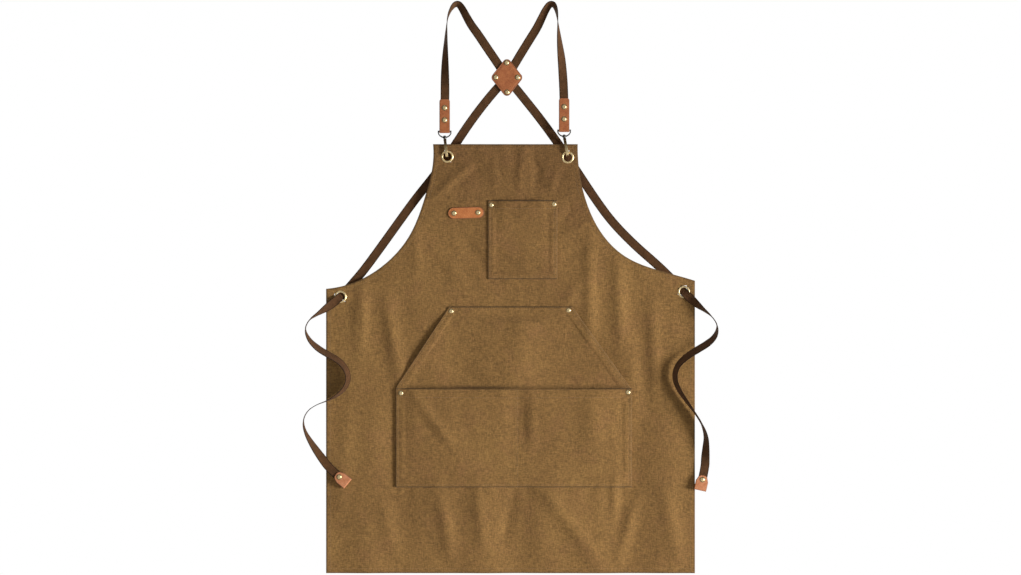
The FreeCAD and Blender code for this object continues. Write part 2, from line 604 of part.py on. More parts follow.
def build():
    face = apron_face()
    posts = [post_hole(x, h) for x, h, _, _ in RIVETS.values()]
    barrels = [rod(BARREL_RADIUS, x, h, -5, 5) for x, h in GROMMETS.values()]
    washers = [rod(GROMMET_RADIUS, x, h, -5, 5) for x, h in GROMMETS.values()]
    parts["apron_body"] = cut_all(slab(face, -CLOTH, CLOTH), posts + barrels)

    parts["hem_facing"] = cut_all(hem_facing(face), washers)

    parts["chest_pocket"] = cut_all(chest_pocket(), posts)
    parts["hand_warmer_panel"] = cut_all(hand_warmer_panel(), posts)
    parts["lower_pocket"] = cut_all(lower_pocket(), posts)
    parts["name_badge"] = cut_all(name_badge(), posts)

    for place, (x, h) in GROMMETS.items():
        parts[f"{place}_grommet"] = grommet(x, h)
        parts[f"{place}_washer"] = washer(x, h)
    for name, spec in {**RIVETS, **PATCH_RIVETS}.items():
        parts[name] = rivet(*spec)

    parts["cross_patch_front"] = patch_layer(PATCH_FRONT)
    parts["cross_patch_back"] = patch_layer(PATCH_BACK - LEATHER)
    parts["left_shoulder_strap"] = ribbon("left_shoulder_strap", LEFT_STRAP, 1)
    parts["right_shoulder_strap"] = ribbon("right_shoulder_strap", RIGHT_STRAP, -1)

    for side, route, turn in (("left", LEFT_TIE, 1), ("right", RIGHT_TIE, -1)):
        tip, (x, y, h), half = tie_tip(route, TIE_IN_TIP[side])
        tie = ribbon(f"{side}_tie", route, turn)
        post = Part.makeCylinder(RIVET_POST, 40, V(x, -30, h), V(0, 1, 0))
        parts[f"{side}_tie"] = tie.cut(post)
        parts[f"{side}_tie_tip"] = tip
        parts[f"{side}_tie_tip_rivet"] = rivet(x, h, y - half, y + half)

    for side in SNAPS:
        (x, bar_h), _ = SNAPS[side]
        half = WEBBING / 2 + LEATHER
        heights = {"upper": bar_h + 43.6, "lower": bar_h + 20.8}
        holes = [post_hole(x, h) for h in heights.values()]
        parts[f"{side}_leather_tab"] = cut_all(leather_tab(side), holes)
        parts[f"{side}_strap_end"] = cut_all(strap_end(side), holes)
        for level, h in heights.items():
            parts[f"{side}_tab_rivet_{level}"] = rivet(x, h, SNAP_Y - half, SNAP_Y + half)
        parts[f"{side}_swivel_ring"] = swivel_ring(side)
        for name, make in (
            ("swivel_post", swivel_post), ("snap_hook", snap_hook), ("gate", gate),
            ("gate_pin", gate_pin), ("gate_spring", gate_spring),
        ):
            piece = make()
            piece.Placement = snap_place(side)
            parts[f"{side}_{name}"] = piece


def export():
    os.makedirs("parts", exist_ok=True)
    for name, shape in parts.items():
        if shape.ShapeType != "Solid" and len(shape.Solids) == 1:
            shape = shape.Solids[0]
        shape.translate(V(0, 0, -HANG_HEIGHT))
        shape.exportStep(f"parts/{name}.step")
        if not shape.isValid() or len(shape.Solids) != 1:
            print("CHECK", name, shape.isValid(), len(shape.Solids))
    print(len(parts), "sub-parts")


build()
export()
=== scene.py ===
from math import cos, pi, radians, sin, tau

import bmesh
import bpy
import numpy as np
from mathutils import Matrix, Vector


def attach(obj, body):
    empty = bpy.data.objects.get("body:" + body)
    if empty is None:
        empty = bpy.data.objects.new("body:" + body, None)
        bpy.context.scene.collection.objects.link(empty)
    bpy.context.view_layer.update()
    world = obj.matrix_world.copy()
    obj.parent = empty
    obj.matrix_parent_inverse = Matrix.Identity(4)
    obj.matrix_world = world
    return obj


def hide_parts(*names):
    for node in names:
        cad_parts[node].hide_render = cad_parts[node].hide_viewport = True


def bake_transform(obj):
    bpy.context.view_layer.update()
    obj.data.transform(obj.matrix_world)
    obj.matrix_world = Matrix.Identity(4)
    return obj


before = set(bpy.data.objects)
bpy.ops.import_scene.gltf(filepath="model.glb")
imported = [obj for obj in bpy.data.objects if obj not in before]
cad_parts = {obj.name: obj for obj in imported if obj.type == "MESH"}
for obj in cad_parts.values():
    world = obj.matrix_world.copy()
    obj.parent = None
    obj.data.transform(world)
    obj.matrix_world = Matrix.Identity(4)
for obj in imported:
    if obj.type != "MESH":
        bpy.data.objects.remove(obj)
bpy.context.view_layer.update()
scene = bpy.context.scene


# --- Studio ---
# A long lens square to the hanging apron, a pale floor below it, and a large soft light on its
# right that rakes across the cloth, with an even pale surround to fill the shadows.

def srgb(code):
    """A hex colour as linear red, green, blue and alpha."""
    parts = [int(code[i:i + 2], 16) / 255 for i in (1, 3, 5)]
    return [p / 12.92 if p <= 0.04045 else ((p + 0.055) / 1.055) ** 2.4 for p in parts] + [1.0]


def wire(tree, node, sockets):
    """Sets a node's sockets to values, to other nodes' outputs, or to the first output in use of a node."""
    for name, value in sockets.items():
        if isinstance(value, bpy.types.Node):
            value = next(output for output in value.outputs if output.enabled)
        if isinstance(value, bpy.types.NodeSocket):
            tree.links.new(value, node.inputs[name])
        else:
            node.inputs[name].default_value = value


def add(tree, kind, sockets=None, **settings):
    """Adds a node with its settings, and its sockets as wire() takes them."""
    made = tree.nodes.new(kind)
    for name, value in settings.items():
        setattr(made, name, value)
    wire(tree, made, sockets or {})
    return made


def new_material(name):
    """An empty material, its node tree and its Principled BSDF."""
    material = bpy.data.materials.new(name)
    material.use_nodes = True
    return material, material.node_tree, material.node_tree.nodes["Principled BSDF"]


view = bpy.data.cameras.new("camera")
view.lens, view.sensor_width = 150, 36
camera = bpy.data.objects.new("camera", view)
camera.location = (0, -7.913, -0.5306)
camera.rotation_euler = (radians(90), 0, 0)
scene.collection.objects.link(camera)
scene.camera = camera
scene.view_settings.view_transform = "Standard"

for name, place, size, power in (
    ("key_light", (6.0, -2.6, -1.1), 1.7, 640),
    ("fill_light", (-2.0, -5.0, 1.2), 2.5, 16),
    ("back_light", (-2.6, 4.6, 0.6), 2.5, 140),
    ("floor_light", (0.0, 1.2, 3.4), 4.0, 95),
):
    data = bpy.data.lights.new(name, "AREA")
    data.size, data.energy = size, power
    light = bpy.data.objects.new(name, data)
    light.location = place
    light.rotation_euler = (Vector((0, 0, -0.55)) - Vector(place)).to_track_quat("-Z", "Y").to_euler()
    scene.collection.objects.link(light)

world = bpy.data.worlds.new("studio")
scene.world = world
world.use_nodes = True
tree = world.node_tree
surround = tree.nodes["Background"]
wire(tree, surround, {"Color": (1, 1, 1, 1), "Strength": 0.22})
backdrop = add(tree, "ShaderNodeBackground", {"Color": (1, 1, 1, 1), "Strength": 1.0})
seen = add(tree, "ShaderNodeLightPath")
mixed = add(tree, "ShaderNodeMixShader", {0: seen.outputs["Is Camera Ray"], 1: surround, 2: backdrop})
wire(tree, tree.nodes["World Output"], {"Surface": mixed})

material, tree, shader = new_material("painted_studio_floor")
grain = add(tree, "ShaderNodeTexNoise", {"Scale": 3.0, "Detail": 2.0})
tone = add(tree, "ShaderNodeMix", {0: grain, 6: srgb("#E9E8E5"), 7: srgb("#F1F0EE")}, data_type="RGBA")
wire(tree, shader, {"Base Color": tone, "Roughness": 0.8})
FLOOR_RADIUS, FLOOR_HEIGHT = 2.9, -1.56
shape = bmesh.new()
bmesh.ops.create_circle(shape, cap_ends=True, segments=96, radius=FLOOR_RADIUS,
                        matrix=Matrix.Translation((0, 0, FLOOR_HEIGHT)))
floor = bpy.data.objects.new("floor", bpy.data.meshes.new("floor"))
shape.to_mesh(floor.data)
floor.data.materials.append(material)
scene.collection.objects.link(floor)


# --- Waist ties ---
# Dark brown cotton webbing, a flat narrow strap woven with a chevron face and firm dark edges.
# Each starts in a waist grommet, where the shoulder strap comes through, and ends in a leather tip.

HANG_HEIGHT = 1062.0  # mm from the bottom hem to the tops of the straps' loops
WEBBING_WIDTH = 16.3
CUPPED_WIDTH = 15.2  # the webbing cups to go through a grommet
WEBBING_THICK = 1.4


def at(x, y, h):
    """A point from millimetres right of the middle, behind the cloth and above the hem."""
    return Vector((x, y, h - HANG_HEIGHT)) / 1000


def set_fields(mesh, **fields):
    """Keeps a number or a vector at each point of a mesh, for its material or its nodes."""
    for name, values in fields.items():
        values = np.asarray(values, np.float32)
        kind, key = ("FLOAT", "value") if values.ndim == 1 else ("FLOAT_VECTOR", "vector")
        mesh.attributes.new(name, kind, "POINT").data.foreach_set(key, values.ravel())


def make_mesh(name, verts, faces, sharp, **fields):
    """A closed smooth mesh that is sharp above an angle, with a value at each point for each field."""
    mesh = bpy.data.meshes.new(name)
    mesh.from_pydata(verts, [], faces)
    set_fields(mesh, **fields)
    shape = bmesh.new()
    shape.from_mesh(mesh)
    unused = [vert for vert in shape.verts if not vert.link_faces]
    bmesh.ops.delete(shape, geom=unused, context="VERTS")
    bmesh.ops.recalc_face_normals(shape, faces=shape.faces)
    shape.to_mesh(mesh)
    mesh.shade_smooth()
    mesh.set_sharp_from_angle(angle=radians(sharp))
    return mesh


def tube_faces(n, count):
    """The faces of a tube of count rings of n points, with flat ends."""
    faces = [(i * n + j, (i + 1) * n + j, (i + 1) * n + (j + 1) % n, i * n + (j + 1) % n)
             for i in range(count - 1) for j in range(n)]
    return faces + [tuple(range(n)), tuple(range(count * n - 1, (count - 1) * n - 1, -1))]


def place_piece(name, mesh, material):
    """A piece in the scene that has one material."""
    made = bpy.data.objects.new(name, mesh)
    mesh.materials.clear()
    mesh.materials.append(material)
    scene.collection.objects.link(made)
    return made


# Woven cotton webbing: matt, fuzzy and dark, its chevrons and cupped edges just visible. The yarns
# are drawn 1.5 mm apart, about twice their real spacing, so that they show.
material, tree, shader = new_material("woven_cotton_webbing")
lay = add(tree, "ShaderNodeAttribute", attribute_name="lay")
split = add(tree, "ShaderNodeSeparateXYZ", {0: lay.outputs["Vector"]})
across = add(tree, "ShaderNodeMath", {0: split.outputs["X"]}, operation="ABSOLUTE")
slant = add(tree, "ShaderNodeMath", {0: split.outputs["Y"], 1: across}, operation="ADD")
turns = add(tree, "ShaderNodeMath", {0: slant, 1: tau / 0.0015}, operation="MULTIPLY")
chevron = add(tree, "ShaderNodeMath", {0: turns}, operation="SINE")
ribs = add(tree, "ShaderNodeMath", {0: split.outputs["X"], 1: tau / 0.0019}, operation="MULTIPLY")
ribs = add(tree, "ShaderNodeMath", {0: ribs}, operation="COSINE")
weave = add(tree, "ShaderNodeMath", {0: chevron, 1: ribs}, operation="ADD")
fuzz = add(tree, "ShaderNodeTexNoise", {"Vector": lay.outputs["Vector"], "Scale": 1400.0, "Detail": 2.0})
height = add(tree, "ShaderNodeMath", {0: fuzz, 1: 1.6, 2: weave}, operation="MULTIPLY_ADD")
bump = add(tree, "ShaderNodeBump", {"Strength": 0.7, "Distance": 0.00022, "Height": height})
blotch = add(tree, "ShaderNodeTexNoise", {
    "Vector": lay.outputs["Vector"], "Scale": 95.0, "Detail": 4.0, "Roughness": 0.65})
patchy = add(tree, "ShaderNodeMapRange", {"Value": blotch, "From Min": 0.25, "From Max": 0.8})
warm = add(tree, "ShaderNodeMix", {0: patchy, 6: srgb("#4C341E"), 7: srgb("#67452A")}, data_type="RGBA")
lit = add(tree, "ShaderNodeMapRange", {
    "Value": weave, "From Min": -2.0, "From Max": 2.0, "To Min": 0.72, "To Max": 1.2})
toned = add(tree, "ShaderNodeVectorMath", {0: warm, "Scale": lit},
            operation="SCALE")
selvedge = add(tree, "ShaderNodeMapRange", {
    "Value": across, "From Min": 0.0060, "From Max": 0.0074}, interpolation_type="SMOOTHSTEP")
dyed = add(tree, "ShaderNodeMix", {0: selvedge, 6: toned, 7: srgb("#342314")}, data_type="RGBA")
wire(tree, shader, {"Base Color": dyed, "Normal": bump, "Roughness": 0.92, "Sheen Weight": 0.03,
                    "Sheen Roughness": 0.5, "Specular IOR Level": 0.15})
webbing_cotton = material


def webbing(name, route, turn_side, cupped):
    """A flat ribbon along the smooth line of a route's points, and that line's own points.

    Each point has its place and how far the face has turned from the front towards the turn
    side. The cupped points are those where the webbing is in a grommet.
    """
    line = bpy.data.curves.new(name, "CURVE")
    line.dimensions = "3D"
    line.resolution_u = 10
    spline = line.splines.new("NURBS")
    spline.points.add(len(route) - 1)
    for point, (x, y, h, *_) in zip(spline.points, route):
        point.co = (*at(x, y, h), 1)
    spline.order_u = 3
    spline.use_endpoint_u = True
    holder = bpy.data.objects.new(name + "_line", line)
    scene.collection.objects.link(holder)
    smooth = bpy.data.meshes.new_from_object(holder)
    path = np.array([v.co for v in smooth.vertices], float)
    bpy.data.objects.remove(holder)
    bpy.data.meshes.remove(smooth)

    last = len(route) - 1
    along = np.linspace(0, last - 1, len(path))
    knots = [0, *np.arange(0.5, last - 1), last - 1]
    turned = np.radians(np.interp(along, knots, [p[3] for p in route]))
    widths = np.full(len(route), WEBBING_WIDTH)
    widths[cupped] = CUPPED_WIDTH
    width = np.interp(along, knots, widths)
    tangent = np.gradient(path, axis=0)
    tangent /= np.linalg.norm(tangent, axis=1)[:, None]
    back = np.array([0, 1, 0]) - tangent * tangent[:, 1:2]
    back /= np.linalg.norm(back, axis=1)[:, None]
    outward = np.cross(tangent, back) * turn_side
    face = outward * np.sin(turned)[:, None] - back * np.cos(turned)[:, None]
    side = np.cross(tangent, face)
    travelled = np.r_[0, np.cumsum(np.linalg.norm(np.diff(path, axis=0), axis=1))]

    # half of the section, from edge to edge: share of the half width, share of the half thickness
    profile = [(-1, 0.25), (-0.985, 0.62), (-0.94, 0.92), (-0.86, 1.0), (-0.6, 0.9), (-0.2, 0.96),
               (0.2, 0.96), (0.6, 0.9), (0.86, 1.0), (0.94, 0.92), (0.985, 0.62), (1, 0.25)]
    ring = profile + [(u, -t) for u, t in reversed(profile)]
    # the edges lift 1.3 mm where the webbing cups
    raised = (WEBBING_WIDTH - width) / (WEBBING_WIDTH - CUPPED_WIDTH) * 1.3
    rows, lays = [], []
    for u, t in ring:
        lift = t * WEBBING_THICK / 2 + raised * (u * u - 0.4)
        rows.append(path + side * (u * width / 2000)[:, None] + face * (lift / 1000)[:, None])
        face_side = np.full(len(path), 0.01 * (t > 0))
        lays.append(np.c_[np.full(len(path), u * WEBBING_WIDTH / 2000), travelled, face_side])
    verts = np.stack(rows, axis=1).reshape(-1, 3)
    mesh = make_mesh(name, verts.tolist(), tube_faces(len(ring), len(path)), 60,
                     lay=np.stack(lays, axis=1).reshape(-1, 3))
    return place_piece(name, mesh, webbing_cotton), path.tolist()


LEFT_TIE = [
    (-316.4, 0.0, 514.1, 0), (-319.7, -2.7, 511.0, 0), (-329.0, -4.2, 503.2, 10),
    (-342.1, -8.0, 493.3, 38), (-358.0, -11.0, 482.6, 70), (-374.5, -12.4, 471.5, 90),
    (-382.6, -12.8, 454.5, 90), (-374.8, -12.8, 434.5, 66), (-358.8, -12.4, 418.9, 48),
    (-340.4, -12.0, 407.6, 46), (-318.6, -12.2, 395.8, 48), (-304.6, -12.8, 379.5, 52),
    (-300.6, -12.8, 361.2, 56), (-307.6, -12.8, 343.4, 60), (-322.5, -12.8, 330.4, 72),
    (-341.5, -12.8, 320.4, 86), (-360.5, -12.8, 313.8, 90), (-377.5, -12.8, 302.5, 90),
    (-385.8, -12.8, 284.5, 90), (-382.2, -12.4, 264.0, 76), (-369.2, -11.0, 241.0, 52),
    (-352.5, -8.8, 217.0, 24), (-335.0, -6.4, 193.2, 0), (-311.8, -6.4, 174.2, 0),
]
RIGHT_TIE = [
    (322.5, 0.0, 523.2, 0), (325.7, -2.7, 519.7, 0), (334.0, -4.2, 511.5, 10),
    (344.6, -8.0, 501.8, 38), (359.0, -11.0, 490.2, 70), (374.2, -12.4, 478.0, 90),
    (385.4, -12.8, 461.0, 90), (381.4, -12.8, 441.5, 60), (367.0, -12.4, 427.5, 42),
    (347.4, -12.2, 416.0, 40), (326.5, -12.4, 403.0, 46), (309.0, -12.8, 386.0, 54),
    (304.0, -12.8, 364.5, 58), (311.5, -12.8, 342.5, 62), (326.0, -12.8, 321.5, 70),
    (342.0, -12.8, 299.5, 82), (355.8, -12.6, 278.0, 84), (363.8, -12.0, 255.0, 64),
    (363.2, -10.8, 234.5, 42), (362.0, -8.8, 215.0, 18), (361.6, -6.4, 196.5, 0),
    (354.2, -6.4, 163.5, 0),
]
ties = {}
for side, route, turn_side in (("left", LEFT_TIE, 1), ("right", RIGHT_TIE, -1)):
    ties[side] = webbing(f"{side}_waist_tie", route, turn_side, [0, 1])
    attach(ties[side][0], "apron")
    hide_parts(f"{side}_tie")


# --- Tie tips ---
# Tan vegetable-tanned leather, one strip folded over the cut end of the webbing. Its two ends are
# cut round where they meet the webbing, and a rivet goes through all the layers.

LEATHER = 1.8
TIP_WIDTH, TIP_LENGTH = 23.0, 29.0
TIP_OVERLAP = {"left": 16.5, "right": 19.5}  # of webbing inside each tip
TIP_RIVET = 8.2  # from its round end

# Vegetable-tanned cowhide, pulled up with oil: a warm tan that is darker and shinier where it has
# been handled, a pebbled grain of about 1 mm, and burnished edges.
hides = {}
for name, deep, pale, scuffed in (("oiled_tan_leather", "#94502A", "#B06838", "#BD7C4C"),
                                  ("pale_tan_leather", "#AC602D", "#C87A40", "#DA9A64"),
                                  ("sanded_tan_leather", "#B06A40", "#CC865A", "#E2AC88")):
    material, tree, shader = new_material(name)
    place = add(tree, "ShaderNodeTexCoord").outputs["Object"]
    cloud = add(tree, "ShaderNodeTexNoise", {
        "Vector": place, "Scale": 130.0, "Detail": 5.0, "Roughness": 0.62})
    pores = add(tree, "ShaderNodeTexVoronoi", {"Vector": place, "Scale": 1100.0}, feature="SMOOTH_F1")
    scuffs = add(tree, "ShaderNodeTexNoise", {
        "Vector": place, "Scale": 420.0, "Detail": 3.0, "Distortion": 1.4})
    oiled = add(tree, "ShaderNodeMapRange", {"Value": cloud, "From Min": 0.28, "From Max": 0.75})
    tan = add(tree, "ShaderNodeMix", {0: oiled, 6: srgb(deep), 7: srgb(pale)}, data_type="RGBA")
    worn = add(tree, "ShaderNodeMapRange", {
        "Value": scuffs, "From Min": 0.5, "From Max": 0.74, "To Max": 0.5})
    rubbed = add(tree, "ShaderNodeMix", {0: worn, 6: tan, 7: srgb(scuffed)}, data_type="RGBA")
    edge = add(tree, "ShaderNodeAttribute", attribute_name="edge_mm")
    burnt = add(tree, "ShaderNodeMapRange", {
        "Value": edge.outputs["Fac"], "From Min": 0.2, "From Max": 1.5, "To Min": 1.0, "To Max": 0.0},
        interpolation_type="SMOOTHSTEP")
    hide = add(tree, "ShaderNodeMix", {0: burnt, 6: rubbed, 7: srgb("#74462A")}, data_type="RGBA")
    pebble = add(tree, "ShaderNodeMath", {0: scuffs, 1: 0.8, 2: pores}, operation="MULTIPLY_ADD")
    bump = add(tree, "ShaderNodeBump", {"Strength": 0.55, "Distance": 0.00025, "Height": pebble})
    gloss = add(tree, "ShaderNodeMapRange", {
        "Value": cloud, "From Min": 0.3, "From Max": 0.7, "To Min": 0.46, "To Max": 0.62})
    wire(tree, shader, {"Base Color": hide, "Normal": bump, "Roughness": gloss})
    hides[name] = material


def folded_strip(name, hide, origin, along, out, width, length, gap, fold, corner):
    """A leather strip folded in two round a line through the origin.

    Its two layers run along from the fold, one on the out side of a gap and the other behind
    it, fold is the radius of the fold's middle and corner rounds the ends of the strip.
    """
    side = along.cross(out)
    layer = (gap + LEATHER) / 2
    swell = np.linspace(0, 1, 5)[1:]
    arc = np.radians(np.arange(8, 173, 12))
    ends = [0, 0.5, 1.2, 2.2, 3.4, corner]
    down = [length - e for e in ends] + list(np.linspace(length - corner, 5, 8)[1:])
    run = [(s, layer) for s in down]
    run += [(5 * (1 - t), layer + (fold - layer) * t * t * (3 - 2 * t)) for t in swell]
    run += [(-fold * sin(a), fold * cos(a)) for a in arc]
    run += [(s, -d) for s, d in reversed(run[:len(down) + 4])]
    run = np.array(run)
    step = np.gradient(run, axis=0)
    step /= np.linalg.norm(step, axis=1)[:, None]
    normal = np.c_[-step[:, 1], step[:, 0]]
    from_end = np.minimum(length - run[:, 0], corner)
    half = width / 2 - corner + np.sqrt(np.maximum(corner ** 2 - (corner - from_end) ** 2, 0.02))
    profile = [(-1, 0.3), (-0.97, 0.75), (-0.92, 0.95), (-0.84, 1.0), (-0.4, 1.03), (0, 1.04),
               (0.4, 1.03), (0.84, 1.0), (0.92, 0.95), (0.97, 0.75), (1, 0.3)]
    ring = profile + [(u, -t) for u, t in reversed(profile)]
    thick = LEATHER / 2 * np.where(length - run[:, 0] < 0.4, 0.6, 1.0)
    rows = []
    for u, t in ring:
        flat = run + normal * (t * thick)[:, None]
        rows.append([origin + (along * s + out * d + side * u * w) / 1000
                     for (s, d), w in zip(flat, half)])
    verts = [spot for ring_spots in zip(*rows) for spot in ring_spots]
    rim = [min(w * (1 - abs(u)), length - s) for (s, _), w in zip(run, half) for u, _ in ring]
    mesh = make_mesh(name, verts, tube_faces(len(ring), len(run)), 55, edge_mm=rim)
    return place_piece(name, mesh, hides[hide])


tips = {}
for side, route in (("left", LEFT_TIE), ("right", RIGHT_TIE)):
    end = at(*route[-1][:3])
    away = (end - at(*route[-2][:3])).normalized()
    fold = (WEBBING_THICK + LEATHER) / 2
    reach = TIP_LENGTH - TIP_OVERLAP[side] - fold - LEATHER / 2
    tips[side] = folded_strip(
        f"{side}_tie_leather_tip", "sanded_tan_leather", end + away * reach / 1000, -away,
        Vector((0, -1, 0)), TIP_WIDTH, TIP_LENGTH - fold - LEATHER / 2, WEBBING_THICK, fold,
        TIP_WIDTH / 2 - 0.01)
    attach(tips[side], "apron")
    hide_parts(f"{side}_tie_tip")


# --- Rivets ---
# Double-cap rivets of antique brass: a domed cap on a rolled rim in front and a smaller one
# behind, joined by a post through the layers. The same cap is set at every place.

# Antique brass, stamped and tumbled: pale where it is rubbed, brown in the rolled rim.
material, tree, shader = new_material("antique_brass")
place = add(tree, "ShaderNodeTexCoord").outputs["Object"]
# a point field darkens the brass towards a dark brown: in the rolled rims and hollows of the rivets and
# grommets, and above a set height on the snap hooks
brass_darkness = add(tree, "ShaderNodeAttribute", attribute_name="brass_darkness")
tarnish = add(tree, "ShaderNodeTexNoise", {"Vector": place, "Scale": 500.0, "Detail": 4.0})
rubbed = add(tree, "ShaderNodeMapRange", {"Value": tarnish, "From Min": 0.35, "From Max": 0.7})
brass = add(tree, "ShaderNodeMix", {0: rubbed, 6: srgb("#F4D698"), 7: srgb("#FFEBBE")}, data_type="RGBA")
aged = add(tree, "ShaderNodeMix", {
    0: brass_darkness.outputs["Fac"], 6: brass, 7: srgb("#4A3416")}, data_type="RGBA")
dull = add(tree, "ShaderNodeMapRange", {
    "Value": tarnish, "From Min": 0.3, "From Max": 0.7, "To Min": 0.34, "To Max": 0.5})
bump = add(tree, "ShaderNodeBump", {"Strength": 0.25, "Distance": 0.0001, "Height": tarnish})
wire(tree, shader, {"Base Color": aged, "Roughness": dull, "Normal": bump, "Metallic": 1.0})
antique_brass = material

# the cap's section: radius, height and how deep in the tarnish, in millimetres
CAP_SECTION = [(0, 1.4, 0), (0.9, 1.38, 0), (1.8, 1.28, 0), (2.5, 1.08, 0), (3.0, 0.82, 0.05),
               (3.35, 0.5, 0.4), (3.5, 0.26, 1), (3.7, 0.24, 1), (3.95, 0.4, 0.7), (4.25, 0.42, 0.45),
               (4.45, 0.28, 0.6), (4.5, 0.05, 0.9), (4.5, -0.3, 1), (0, -0.3, 1)]


def lathe(name, section, count=28):
    """Turns a section of radius, height and tarnish about Z, its ends closed on the axis."""
    shape = bmesh.new()
    depth = shape.verts.layers.float.new("brass_darkness")
    rings = []
    for r, z, dark in section:
        angles = [0] if r == 0 else [tau * k / count for k in range(count)]
        ring = [shape.verts.new((r * cos(a) / 1000, r * sin(a) / 1000, z / 1000)) for a in angles]
        for vert in ring:
            vert[depth] = dark
        rings.append(ring)
    for a, b in zip(rings, rings[1:]):
        for k in range(count):
            corners = [a[k % len(a)], b[k % len(b)], b[(k + 1) % len(b)], a[(k + 1) % len(a)]]
            shape.faces.new(list(dict.fromkeys(corners)))
    bmesh.ops.recalc_face_normals(shape, faces=shape.faces)
    mesh = bpy.data.meshes.new(name)
    shape.to_mesh(mesh)
    mesh.shade_smooth()
    mesh.set_sharp_from_angle(angle=radians(70))
    return mesh


cap = bpy.data.objects.new("rivet_cap", lathe("rivet_cap", CAP_SECTION))
scene.collection.objects.link(cap)


def node_group(name, **inputs):
    """A Geometry Nodes tree, its input node, and each input's identifier."""
    tree = bpy.data.node_groups.new(name, "GeometryNodeTree")
    tree.is_modifier = True
    keys = {label: tree.interface.new_socket(
        label, in_out="INPUT", socket_type="NodeSocket" + kind).identifier
        for label, kind in {"Geometry": "Geometry", **inputs}.items()}
    tree.interface.new_socket("Geometry", in_out="OUTPUT", socket_type="NodeSocketGeometry")
    return tree, add(tree, "NodeGroupInput"), keys


def make_plain(piece):
    """Turns what a piece's modifiers make into its own mesh."""
    shown = piece.evaluated_get(bpy.context.evaluated_depsgraph_get())
    piece.data = bpy.data.meshes.new_from_object(shown)
    piece.modifiers.clear()


def run_nodes(piece, tree, keys, **values):
    """Runs a Geometry Nodes tree on a piece, and keeps the mesh that it makes."""
    nodes = piece.modifiers.new(tree.name, "NODES")
    nodes.node_group = tree
    for label, value in values.items():
        nodes[keys[label]] = value
    make_plain(piece)


rivet_tree, given, rivet_keys = node_group("caps_at_points", Cap="Object", Metal="Material", Seed="Int")
facing = add(rivet_tree, "GeometryNodeInputNamedAttribute", {"Name": "facing"}, data_type="FLOAT_VECTOR")
size = add(rivet_tree, "GeometryNodeInputNamedAttribute", {"Name": "size"}, data_type="FLOAT")
spin = add(rivet_tree, "FunctionNodeRandomValue", {"Seed": given.outputs["Seed"], 3: tau}, data_type="FLOAT")
turn = add(rivet_tree, "ShaderNodeCombineXYZ", {"Z": spin})
turned = add(rivet_tree, "FunctionNodeEulerToRotation", {0: turn})
aim = add(rivet_tree, "FunctionNodeAlignRotationToVector", {"Rotation": turned, "Vector": facing}, axis="Z")
shown = add(rivet_tree, "GeometryNodeObjectInfo", {"Object": given.outputs["Cap"]})
spots = add(rivet_tree, "GeometryNodeMeshToPoints", {"Mesh": given.outputs["Geometry"]})
placed = add(rivet_tree, "GeometryNodeInstanceOnPoints", {
    "Points": spots, "Instance": shown.outputs["Geometry"], "Rotation": aim, "Scale": size})
real = add(rivet_tree, "GeometryNodeRealizeInstances", {0: placed})
coated = add(rivet_tree, "GeometryNodeSetMaterial", {"Geometry": real, "Material": given.outputs["Metal"]})
add(rivet_tree, "NodeGroupOutput", {0: coated})


def set_rivets(name, nodes, places, seed, scale=1.0):
    """Caps in front of and behind the layers at each place: x, height, front and back faces."""
    mesh = bpy.data.meshes.new(name)
    spots, ways, sizes = [], [], []
    for x, h, front, behind in places:
        spots += [at(x, front, h), at(x, behind, h)]
        ways += [(0, -1, 0), (0, 1, 0)]
        sizes += [scale, 0.93 * scale]
    mesh.from_pydata(spots, [], [])
    set_fields(mesh, facing=ways, size=sizes)
    made = place_piece(name, mesh, antique_brass)
    run_nodes(made, rivet_tree, rivet_keys, Cap=cap, Metal=antique_brass, Seed=seed)
    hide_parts(*nodes)
    return made


for number, (side, route) in enumerate((("left", LEFT_TIE), ("right", RIGHT_TIE))):
    end, last = at(*route[-1][:3]), at(*route[-2][:3])
    mid = end + (last - end).normalized() * (TIP_OVERLAP[side] - TIP_RIVET) / 1000
    front, behind = -WEBBING_THICK / 2 - LEATHER, WEBBING_THICK / 2 + LEATHER
    x, y, h = mid.x * 1000, mid.y * 1000, mid.z * 1000 + HANG_HEIGHT
    rivet = set_rivets(f"{side}_tie_rivet", [f"{side}_tie_tip_rivet"],
                       [(x, h, y + front, y + behind)], number, 1.15)
    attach(rivet, "apron")


# --- Apron body ---
# One piece of washed cotton duck, khaki brown, its edges turned to the back and stitched. It hangs
# from the hooks in the bib's grommets, in shallow ripples that are pulled flat at the hardware.

GROMMETS = {"bib_left": (-117.6, 775.0), "bib_right": (106.4, 773.6),
            "waist_left": (-316.4, 514.1), "waist_right": (322.5, 523.2)}
RIVETS = {
    "chest_pocket": [(-35.7, 684.7), (80.9, 686.3)],
    "hand_warmer": [(-110.3, 487.3), (107.9, 489.0)],
    "lower_pocket": [(-203.5, 335.0), (218.5, 336.7)],
    "name_badge": [(-105.0, 669.6), (-60.5, 670.9)],
}
CLOTH = 0.7  # from the cloth's middle to its faces
HEM_ROW = 8.5  # from the finished edge to the row of stitching that holds the hem


def ease(t):
    """Runs smoothly from 0 to 1 as t does."""
    t = np.clip(t, 0, 1)
    return t * t * (3 - 2 * t)


def crease(x, h, start, end, width, depth):
    """A soft fold that runs from start to end and dies out at both."""
    dx, dh = end[0] - start[0], end[1] - start[1]
    long = np.hypot(dx, dh)
    along = ((x - start[0]) * dx + (h - start[1]) * dh) / long ** 2
    off = ((x - start[0]) * dh - (h - start[1]) * dx) / long
    return depth * np.exp(-(off / width) ** 2) * np.sin(pi * np.clip(along, 0, 1))


